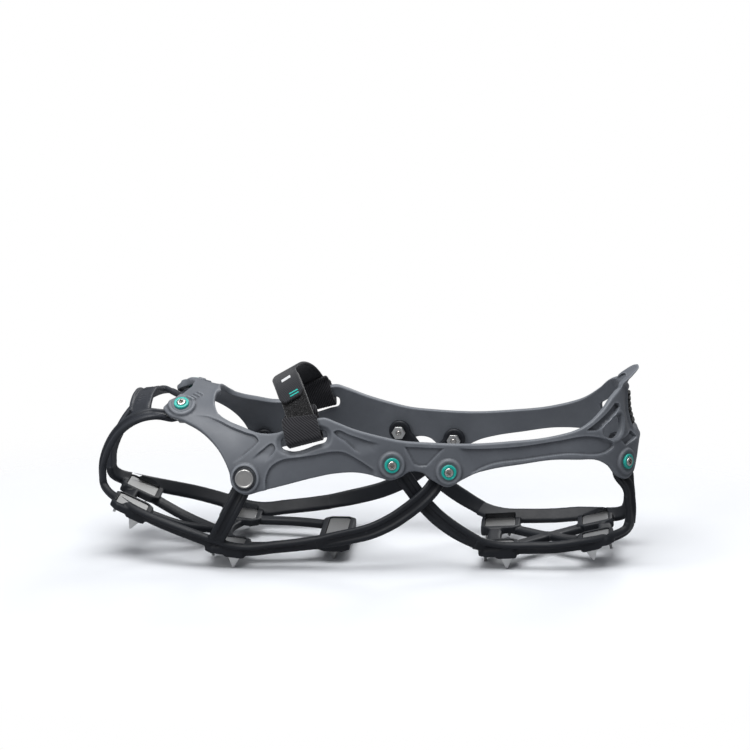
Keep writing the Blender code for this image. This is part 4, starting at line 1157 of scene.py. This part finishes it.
class Pod:
    """A spike pod: where its side-facing tooth meets the plate, its lean, and its second tooth's place."""

    def __init__(self, name, root, lean, second):
        self.name = name
        self.second = second
        self.side = 1 if second[0] > 0 else -1
        self.frame = Matrix.Translation(root) @ Matrix.Rotation(radians(lean), 4, "Y")

    def place(self, mesh):
        mesh.transform(self.frame)
        return mesh

    def at(self, x, y):
        return self.frame @ Vector((x, y, -1.2))


FOREFOOT_PODS = [Pod("toe", (-136.6, -30, 26.8), 25, (-13.2, 16)),
                 Pod("ball", (-78.0, -43, 9.5), 6, (-14, 18))]
HEEL_PODS = [Pod("heel_front", (78, -34, 9.5), -3, (-12.8, 15)),
             Pod("heel_back", (126.2, -28.5, 13.6), -14, (10.5, 15))]
ARCH_PLACE = (-22.4, 0, 9.5)
ARCH_TOOTH = -22.5
ARCH_TURN = -40


def octagon(x, y, corner):
    return [(x[0] + corner, y[0]), (x[1] - corner, y[0]), (x[1], y[0] + corner), (x[1], y[1] - corner),
            (x[1] - corner, y[1]), (x[0] + corner, y[1]), (x[0], y[1] - corner), (x[0], y[0] + corner)]


def block(x, y, low, high, corner, bevel=0.7):
    """A moulded block with cut corners and rounded edges."""
    return bevelled(prism(octagon(x, y, corner), low, high), bevel, 3)


def tooth(centre, turn, grow=0.0):
    """A pointed tooth hanging from a plate; at turn 0 it faces the side, at 90 the front."""
    half, tip, drop = TOOTH_WIDTH / 2 + grow, TIP_WIDTH / 2 + grow, -TOOTH_DROP - grow
    outline = [(-half, 0.3), (-half, -TOOTH_SHOULDER), (-tip, drop), (tip, drop), (half, -TOOTH_SHOULDER),
               (half, 0.3)]
    mesh = prism(outline, -SHEET / 2 - grow, SHEET / 2 + grow)
    mesh.transform(Matrix.Rotation(pi / 2, 4, "X"))
    mesh.transform(Matrix.Rotation(radians(turn), 4, "Z"))
    mesh.transform(Matrix.Translation((*centre, 0)))
    return mesh


def plate_base(low, high, near, far, grow=0.0):
    """The flat of a plate. One that is grown is a cutter: it is open upward, and its corners are tighter."""
    outline = octagon((low - grow, high + grow), (near - grow, far + grow), 1.2 if grow else 1.6)
    return prism(outline, -grow, SHEET + grow + (3 if grow else 0))


def plate_solid(pod, grow=0.0):
    dx, dy = pod.second
    low, high = sorted((dx + pod.side * SHEET / 2, -pod.side * (TOOTH_WIDTH / 2 + TOOTH_MARGIN)))
    base = plate_base(low, high, -SHEET / 2, dy + TOOTH_WIDTH / 2 + TOOTH_MARGIN, grow)
    return united([base, tooth((0, 0), 0, grow), tooth(pod.second, 90, grow)])


def arch_solid(grow=0.0):
    left = tooth((0, ARCH_TOOTH), ARCH_TURN, grow)
    mesh = united([plate_base(-6, 6, ARCH_TOOTH - 4, -ARCH_TOOTH + 4, grow), left, mirrored(left)])
    mesh.transform(Matrix.Translation(ARCH_PLACE))
    return mesh


def pod_blocks(pods):
    """The moulded block round each plate, and the collar below each tooth."""
    solids = []
    for pod in pods:
        dx, dy = pod.second
        ends = sorted((dx + pod.side * COLLAR_HALF, -pod.side * BLOCK_MARGIN))
        parts = [block(ends, (-3.6, dy + BLOCK_MARGIN), -POD_FLOOR, POD_ABOVE, 4)]
        collars = [(0, 0, COLLAR_REACH, COLLAR_HALF), (dx, dy, COLLAR_HALF, COLLAR_REACH)]
        for x, y, half_x, half_y in collars:
            parts.append(block((x - half_x, x + half_x), (y - half_y, y + half_y), -POD_BELOW, 1, 1.4))
        solids += [pod.place(part) for part in parts]
    return solids


def pockets(pods):
    return [pod.place(plate_solid(pod, GAP)) for pod in pods]


def add_web(name, solids, cutters, look, node, body):
    mesh = cut(fused(solids + [mirrored(s) for s in solids], WEB_VOXEL, 2), cutters)
    piece(name, mesh, look, [node], body=body)


def add_plates(pods, look, body):
    for pod in pods:
        mesh = pod.place(bevelled(plate_solid(pod), PLATE_BEVEL))
        both_sides("steel_plate_" + pod.name, mesh, look, "spike_plate_" + pod.name, body=body, crisp=20)


def flat_link(*points):
    return swept([[*point, 0, 0, -1] for point in points], 8.0, RAIL, radius=1.3, groove=0.7, fade=4.0)


def make_forefoot_web(look, steel_look):
    rail = [[-158.4, -15.6, 44.4, -0.97, -0.24, 0.0], [-157.7, -16.0, 40.4, -0.93, -0.28, -0.2],
            station(-153.6, -19.4, 36.4, 35), station(-146.4, -24.6, 33, 45),
            station(-137, -30.8, 29.2, 45), station(-126, -36, 25.6, 42), station(-112, -40.8, 21.6, 40),
            station(-97, -43.5, 17, 40), station(-82, -44.5, 12.2, 40), station(-70, -44.5, 10.8, 40),
            station(-56, -44.5, 12.6, 40), station(-43, -44.6, 14.2, 38),
            station(CROSS_START_X, -44.8, 16.2, 30)]
    side = [pinned(RIVET), pinned((-73.6, 10)), station(-77.4, -49.4, 38, 0),
            station(-82, -50.2, 29, 8), station(-86.4, -48.2, 20.6, 25), station(-89, -44.5, 15.2, 40)]
    toe, ball = FOREFOOT_PODS
    solids = [swept(rail, RAIL_WIDTH, RAIL, radius=1.5, groove=0.8),
              swept(side, STRAP_WIDTH, STRAP, groove=1.1),
              flat_link(toe.at(-8, 12), toe.at(-9, 22), toe.at(-9, 32)),
              flat_link(toe.at(3, 14), (-113, -9, 15), (-92, 2, 9.4)),
              flat_link(ball.at(-4, 18), ball.at(-9, 34), ball.at(-10, 45)),
              flat_link(ball.at(0, 14), (-50, -27, 8.3), (-28, -21, 8.3)), eye_pad(RIVET)]
    arch = block((-9.5, 9.5), (ARCH_TOOTH - 7, -ARCH_TOOTH + 7), -POD_BELOW, POD_ABOVE, 4, 0.9)
    arch.transform(Matrix.Translation(ARCH_PLACE))
    solids += pod_blocks(FOREFOOT_PODS) + [arch]
    cutters = pockets(FOREFOOT_PODS) + [eye_hole(RIVET, 3.2)]
    cutters += [mirrored(tool) for tool in cutters] + [arch_solid(GAP)]
    add_web("moulded_forefoot_web", solids, cutters, look, "forefoot_web", "forefoot")
    add_plates(FOREFOOT_PODS, steel_look, "forefoot")
    piece("steel_plate_arch", bevelled(arch_solid(), PLATE_BEVEL), steel_look, ["spike_plate_arch"],
          body="forefoot", crisp=20)


def make_heel_web(look, steel_look):
    rail = [station(HEEL_CROSS_X, -38, 16, 30), station(68, -36, 13.6, 40), station(78, -35, 12.2, 42),
            station(92, -34.6, 12.4, 42), station(106, -34.4, 13, 42), station(119, -33, 14.6, 42),
            station(131, -28.8, 15.8, 42), station(141, -22.8, 17.6, 42), station(146.8, -19.9, 20.4, 30),
            station(148.8, -19.2, 24.6, 14)]
    front, back = HEEL_PODS
    solids = [swept(rail, RAIL_WIDTH, RAIL, radius=1.5, groove=0.6),
              flat_link(front.at(-7, 14), front.at(-8, 36)), flat_link(back.at(8, 14), back.at(9, 31)),
              flat_link(front.at(2, 14), (94, -7, 9), (104, 2, 9.8)),
              flat_link(back.at(-2, 14), (112, -7, 10.2), (102, 2, 9.8))] + pod_blocks(HEEL_PODS)
    cutters = pockets(HEEL_PODS)
    cutters += [mirrored(tool) for tool in cutters]
    add_web("moulded_heel_web", solids, cutters, look, "heel_web", "heel")
    add_plates(HEEL_PODS, steel_look, "heel")


# ==== instep strap ====

WEBBING_WIDTH = 20.5
WEBBING = 1.5             # thicknesses of the webbing, the pile strip and the grey band
STRIP = 1.8
BAND = 1.6
STRIP_WIDTH = 15.5
CLOTH_CELL = 0.3
BAR = (-38.2, 47.2)       # the slot's bar, how far it climbs over 8 mm, and the loop's reach round it
BAR_RISE = 2.1
BAR_SIDE = 4.6
BAR_DROP = 8.3
STRAP_PATH = [(-38.8, 53), (-42.2, 62.6), (-45, 71), (-47.5, 80), (-49.5, 89)]
STRIP_FOOT = (-38.4, 51.8)
CROWN = (-50.2, 94.5)
TAB_BELOW = (-46.2, 75.5)
INNER_PLY = 0.2           # heights of the plies above the form
STRIP_PLY = 2.9
OUTER_PLY = 5.6
WALE_PITCH = 1.6
PATCH_LIFT = 0.72         # height of a sewn patch above the middle of the band


def loop_station(out, up):
    """A station round the slot's bar, from distances outward and up."""
    centre, normal = on_form(BAR, SKIN / 2)
    fore, _ = on_form((BAR[0] + 8, BAR[1] + BAR_RISE), SKIN / 2)
    aft, _ = on_form((BAR[0] - 8, BAR[1] - BAR_RISE), SKIN / 2)
    run = (fore - aft).normalized()
    rise = normal.cross(run).normalized()
    return [*(centre + normal * out + rise * up), *normal, *run]


def ply_station(place, h):
    """A station on the strap, whose width is square to the strap's first stretch."""
    low, _ = on_form(STRAP_PATH[0], h)
    high, _ = on_form(STRAP_PATH[1], h)
    point, normal = on_form(place, h)
    return [*point, *normal, *(high - low).cross(normal).normalized()]


def two_skins(upper, lower):
    """A closed sheet from the point grids of its two faces."""
    rows, cols = upper.shape[:2]
    total = rows * cols
    faces = []
    for i in range(rows - 1):
        for a in range(i * cols, (i + 1) * cols - 1):
            b, c, d = a + 1, a + cols + 1, a + cols
            faces += [(a, b, c, d), (d + total, c + total, b + total, a + total)]
    rim = [i * cols for i in range(rows)] + [(rows - 1) * cols + j for j in range(1, cols)]
    rim += [i * cols + cols - 1 for i in range(rows - 2, -1, -1)] + list(range(cols - 2, 0, -1))
    faces += [(a, b, b + total, a + total) for a, b in zip(rim, rim[1:] + rim[:1])]
    return edited(mesh_from(np.vstack([upper.reshape(-1, 3), lower.reshape(-1, 3)]), faces))


def cloth_band(stations, width, thick, weave, taper=None):
    """A flat strap as a fine grid on both faces, raised by a weave function of (run, across) in millimetres.

    A taper gives the share of the full width at a distance along a strap of some length.
    """
    points, across, face, run = path_frames(stations, 16, CLOTH_CELL)
    share = np.linspace(-1, 1, max(6, round(width / CLOTH_CELL)) + 1)
    half = np.array([taper(s, run[-1]) if taper else 1.0 for s in run]) * width / 2
    off = share[None, :] * half[:, None]
    edge = np.minimum(half[:, None] - np.abs(off), np.minimum(run, run[-1] - run)[:, None])
    round_off = np.sqrt(np.clip(1 - (1 - np.clip(edge / (thick / 2), 0, 1)) ** 2, 0, 1))
    body = thick / 2 * (0.35 + 0.65 * round_off)
    top = body + weave(run[:, None], off) * round_off
    low = -body - weave(run[:, None] + 0.3, -off) * round_off
    base = points[:, None, :] + off[..., None] * across[:, None, :]
    mesh = two_skins(*(base + height[..., None] * face[:, None, :] for height in (top, low)))
    where = np.stack([np.broadcast_to(run[:, None], off.shape).ravel(), off.ravel()], axis=1)
    corner = np.empty(len(mesh.loops), int)
    mesh.loops.foreach_get("vertex_index", corner)
    layer = mesh.uv_layers.new(name="strap")
    layer.data.foreach_set("uv", np.vstack([where, where])[corner].astype(np.float32).ravel())
    return mesh


def twill(run, off):
    """Diagonal wales of heavy webbing, with a plain selvedge."""
    wale = 0.5 + 0.5 * np.sin((run * 0.8 + off) * 2 * pi / WALE_PITCH)
    edge = np.clip((WEBBING_WIDTH / 2 - 1.4 - np.abs(off)) / 0.3, 0, 1)
    ribs = 0.5 + 0.5 * np.sin(run * 2 * pi / 1.3)
    return 0.16 * (wale * edge + ribs * (1 - edge))


def tufts(run, off):
    """Uneven height of brushed pile."""
    rough = np.sin(run * 5.1 + 1.7 * np.sin(off * 3.3)) * np.sin(off * 4.7 + 1.3 * np.sin(run * 2.9))
    return 0.14 + 0.12 * rough


def tab_weave(run, off):
    """Fine twill with a stitched line inside each edge."""
    wale = 0.5 + 0.5 * np.sin((run - off * 0.9) * 2 * pi / WALE_PITCH)
    gap = np.minimum(STRIP_WIDTH / 2 - np.abs(off), run)
    return 0.07 * wale - 0.16 * ridge(gap, 1.5, 0.28)


def webbing_taper(s, length):
    return 1 - 0.12 * (1 - min(1.0, min(s, length - s) / 2.0)) ** 2


def tab_taper(s, length):
    return 1 - 0.42 * (1 - min(1.0, s / 6.5)) ** 2.2


def make_loop_webbing(look):
    """Webbing that passes through the slot on each side and lies double above it."""
    side, drop = BAR_SIDE, BAR_DROP
    inner = [ply_station((-40.8, 58.4), INNER_PLY), ply_station((-39.8, 55.2), INNER_PLY)]
    loop = [(-side + 0.6, 3.4), (-side, -0.5), (-side, -4.5), (-side * 0.8, -drop * 0.93), (0, -drop),
            (side * 0.85, -drop * 0.95), (side, -4.5), (side, -0.5), (side - 0.7, 3.2)]
    rows = inner + [loop_station(*place) for place in loop] + [ply_station(STRAP_PATH[0], OUTER_PLY)]
    mesh = cloth_band(rows, WEBBING_WIDTH, WEBBING, twill, webbing_taper)
    piece("twill_webbing_left", mesh, look, ["instep_webbing_left"], body="strap_left")
    piece("twill_webbing_right", mirrored(mesh), look, ["instep_webbing_right"], body="strap_right")


def loop_threads(stations, width, count):
    """Small arched threads standing on the pile strip."""
    points, across, face, run = path_frames(stations, 16, 0.25)
    corners, faces = [], []
    for _ in range(count):
        k = int(RNG.integers(4, len(run) - 8))
        off = float(RNG.uniform(-width / 2 + 0.6, width / 2 - 0.6))
        turn = float(RNG.uniform(0, 2 * pi))
        reach, height = float(RNG.uniform(0.35, 0.75)), float(RNG.uniform(0.3, 0.75))
        lean = np.cross(face[k], across[k]) * cos(turn) + across[k] * sin(turn)
        base = points[k] + across[k] * off + face[k] * 0.85
        side = np.cross(lean, face[k]) * 0.07
        faces += tube(5, 3, len(corners))
        for t in (0.0, 0.25, 0.5, 0.75, 1.0):
            spot = base + lean * reach * (t - 0.5) * 2 + face[k] * height * sin(pi * t)
            corners += [spot + side, spot - side, spot + face[k] * 0.11]
    return edited(mesh_from(corners, faces))


def make_loop_strip(look):
    rows = [pinned(place, STRIP_PLY) for place in (STRIP_FOOT, *STRAP_PATH[1:])]
    strip = cloth_band(rows, STRIP_WIDTH, STRIP, tufts)
    piece("pile_strip", strip, look, ["loop_strip"], body="strap_left")
    piece("pile_threads", loop_threads(rows, STRIP_WIDTH, 1500), look, [], body="strap_left")


def far_station(place, h):
    """A pinned station on the far side."""
    x, y, z, nx, ny, nz = pinned(place, h)
    return [x, -y, z, nx, -ny, nz]


def strap_rows():
    """Stations of the band, from the tab's end over the crown and down the far side."""
    near = [pinned(place, OUTER_PLY) for place in STRAP_PATH[1:]]
    heights = [OUTER_PLY, 5.0, 3.9, STRIP_PLY, STRIP_PLY]
    far = [far_station(place, h) for place, h in zip((*STRAP_PATH[:0:-1], STRIP_FOOT), heights)]
    crown = pinned(CROWN, OUTER_PLY)
    crown[1] = crown[4] = 0.0
    return near + [crown] + far


def patch(rows, run_range, off_range, thick=0.35, slant=0.0):
    """A thin plate sewn on the strap, between distances along it and across it."""
    points, across, face, run = path_frames(rows, 24, 0.25)
    start, end = run_range
    keep = (run >= start) & (run <= end)
    share = (run[keep, None] - start) / (end - start)
    off = np.linspace(*off_range, 13) + slant * share
    base = points[keep, None] + across[keep, None] * off[..., None]
    skins = [base + face[keep, None] * height for height in (PATCH_LIFT + thick, PATCH_LIFT)]
    return bevelled(two_skins(*skins), 0.1, 2, 60)


def make_top_strap(look, teal_look, pale_look):
    """The strap over the instep and its free tab, as one band."""
    rows = strap_rows()
    hinge, _ = on_form(STRAP_PATH[3], OUTER_PLY)
    below, _ = on_form(TAB_BELOW, OUTER_PLY)
    band = cloth_band(rows, STRIP_WIDTH, BAND, tab_weave, tab_taper)
    piece("grey_instep_band", band, look, ["instep_strap", "strap_tab"],
          bend=("strap_right", "tab", hinge, below))
    piece("teal_bar_1", patch(rows, (1.7, 2.8), (-0.6, 5.0), slant=-0.5), teal_look, [], body="tab")
    piece("teal_bar_2", patch(rows, (4.0, 5.1), (-0.6, 5.0), slant=-0.5), teal_look, [], body="tab")
    piece("pale_patch", patch(rows, (19.6, 24.0), (-2.6, 3.4), 0.25), pale_look, [], body="strap_right")


# ==== stage ====

VIEW_TURN = 4.0
VIEW_RISE = 12.5
VIEW_DISTANCE = 1600
VIEW_SCALE = 1.72         # picture points per millimetre at the aim
HALF_PICTURE = 375
AIM = Vector((0, 0, 105))
LIGHT_AIM = Vector((0, 0, 0.05))
FLOOR_HALF = 4


def make_floor():
    corners = [(x * FLOOR_HALF, y * FLOOR_HALF, 0) for x, y in ((-1, -1), (1, -1), (1, 1), (-1, 1))]
    floor = put("floor", mesh_from(corners, [(0, 1, 2, 3)]))
    floor.data.materials.append(floor_material())


def area_light(name, place, size, power):
    data = bpy.data.lights.new(name, "AREA")
    data.shape = "DISK"
    data.size = size
    data.energy = power
    light = put(name, data)
    light.location = place
    light.rotation_euler = (LIGHT_AIM - Vector(place)).to_track_quat("-Z", "Y").to_euler()


def make_light():
    """Soft studio light. The camera sees a white surround that is brighter than the light it gives."""
    world = bpy.data.worlds.new("studio")
    bpy.context.scene.world = world
    world.use_nodes = True
    nodes, links = world.node_tree.nodes, world.node_tree.links
    room = nodes["Background"]
    room.inputs["Color"].default_value = (0.93, 0.95, 1.0, 1)
    room.inputs["Strength"].default_value = ROOM_LIGHT
    paper = nodes.new("ShaderNodeBackground")
    paper.inputs["Color"].default_value = (1, 1, 1, 1)
    seen = nodes.new("ShaderNodeLightPath").outputs["Is Camera Ray"]
    blend = nodes.new("ShaderNodeMixShader")
    for k, source in enumerate((seen, room.outputs[0], paper.outputs[0])):
        links.new(source, blend.inputs[k])
    links.new(blend.outputs[0], nodes["World Output"].inputs["Surface"])
    area_light("top", (-0.1, -0.25, 1.1), 0.9, 12.5)
    area_light("front", (-0.7, -1.3, 0.9), 0.5, 5)
    area_light("back", (0.5, 1.2, 0.9), 0.6, 6)


def make_camera():
    turn, rise = radians(VIEW_TURN), radians(VIEW_RISE)
    back = Vector((sin(turn) * cos(rise), -cos(turn) * cos(rise), sin(rise)))
    data = bpy.data.cameras.new("camera")
    data.angle = 2 * atan(HALF_PICTURE / (VIEW_SCALE * VIEW_DISTANCE))
    data.clip_start = 0.05
    camera = put("camera", data)
    camera.location = (AIM + TO_FRAME + back * VIEW_DISTANCE) * MM
    camera.rotation_euler = (-back).to_track_quat("-Z", "Y").to_euler()
    bpy.context.scene.camera = camera
    bpy.context.scene.view_settings.view_transform = "Standard"


# ==== assembly ====

harness_mat = moulded("slate elastomer", (0.112, 0.122, 0.139), (0.138, 0.149, 0.168), (0.28, 0.30, 0.33),
                      0.44)
web_mat = moulded("black web", (0.0075, 0.009, 0.0125), (0.011, 0.013, 0.0175), (0.04, 0.045, 0.052), 0.46,
                  shine=0.35)
toe_mat = moulded("charcoal toe strap", (0.020, 0.023, 0.029), (0.027, 0.030, 0.038), (0.075, 0.08, 0.09),
                  0.45, shine=0.35)
grip_mat = moulded("grip rubber", (0.008, 0.008, 0.009), (0.014, 0.014, 0.015), (0.05, 0.05, 0.05), 0.7,
                   0.05, 0.3)
plate_mat = steel("stamped stainless", (0.66, 0.66, 0.65), 0.28)
rivet_mat = steel("rivet steel", (0.60, 0.59, 0.57), 0.32, (3.0, 3.0, 3.0))
screw_mat = steel("screw steel", (0.60, 0.56, 0.52), 0.22, (2.0, 2.0, 2.0))
nut_mat = steel("nut steel", (0.42, 0.42, 0.42), 0.36)
ring_mat = ring_plastic()
webbing_mat = cloth("black webbing", (0.004, 0.004, 0.005), (0.060, 0.060, 0.067), 1.25, -51, depth=0.2)
band_mat = cloth("grey band", (0.012, 0.013, 0.015), (0.046, 0.047, 0.053), 1.19, 42, depth=0.1)
pile_mat = pile("black pile", (0.002, 0.002, 0.002), (0.022, 0.022, 0.024))
teal_mat = woven_label("teal bar", (0.02, 0.50, 0.43))
pale_mat = woven_label("pale patch", (0.80, 0.81, 0.82))

web_look = (web_mat, "web_tpu")
plate_look = (plate_mat, "stainless")
make_harness((harness_mat, "harness_elastomer"))
make_grip((grip_mat, "grip_rubber"))
make_screw_sets((screw_mat, "stainless"), (ring_mat, "teal_nylon"), (nut_mat, "nut_steel"))
make_rivets((rivet_mat, "rivet_steel"))
make_toe_strap((toe_mat, "toe_strap_tpu"))
make_cross_straps(web_look)
make_heel_straps(web_look)
make_forefoot_web(web_look, plate_look)
make_heel_web(web_look, plate_look)
make_loop_webbing((webbing_mat, "webbing"))
make_loop_strip((pile_mat, "loop_fabric"))
make_top_strap((band_mat, "tab_fabric"), (teal_mat, "teal_nylon"), (pale_mat, "tab_fabric"))
make_floor()
make_light()
make_camera()
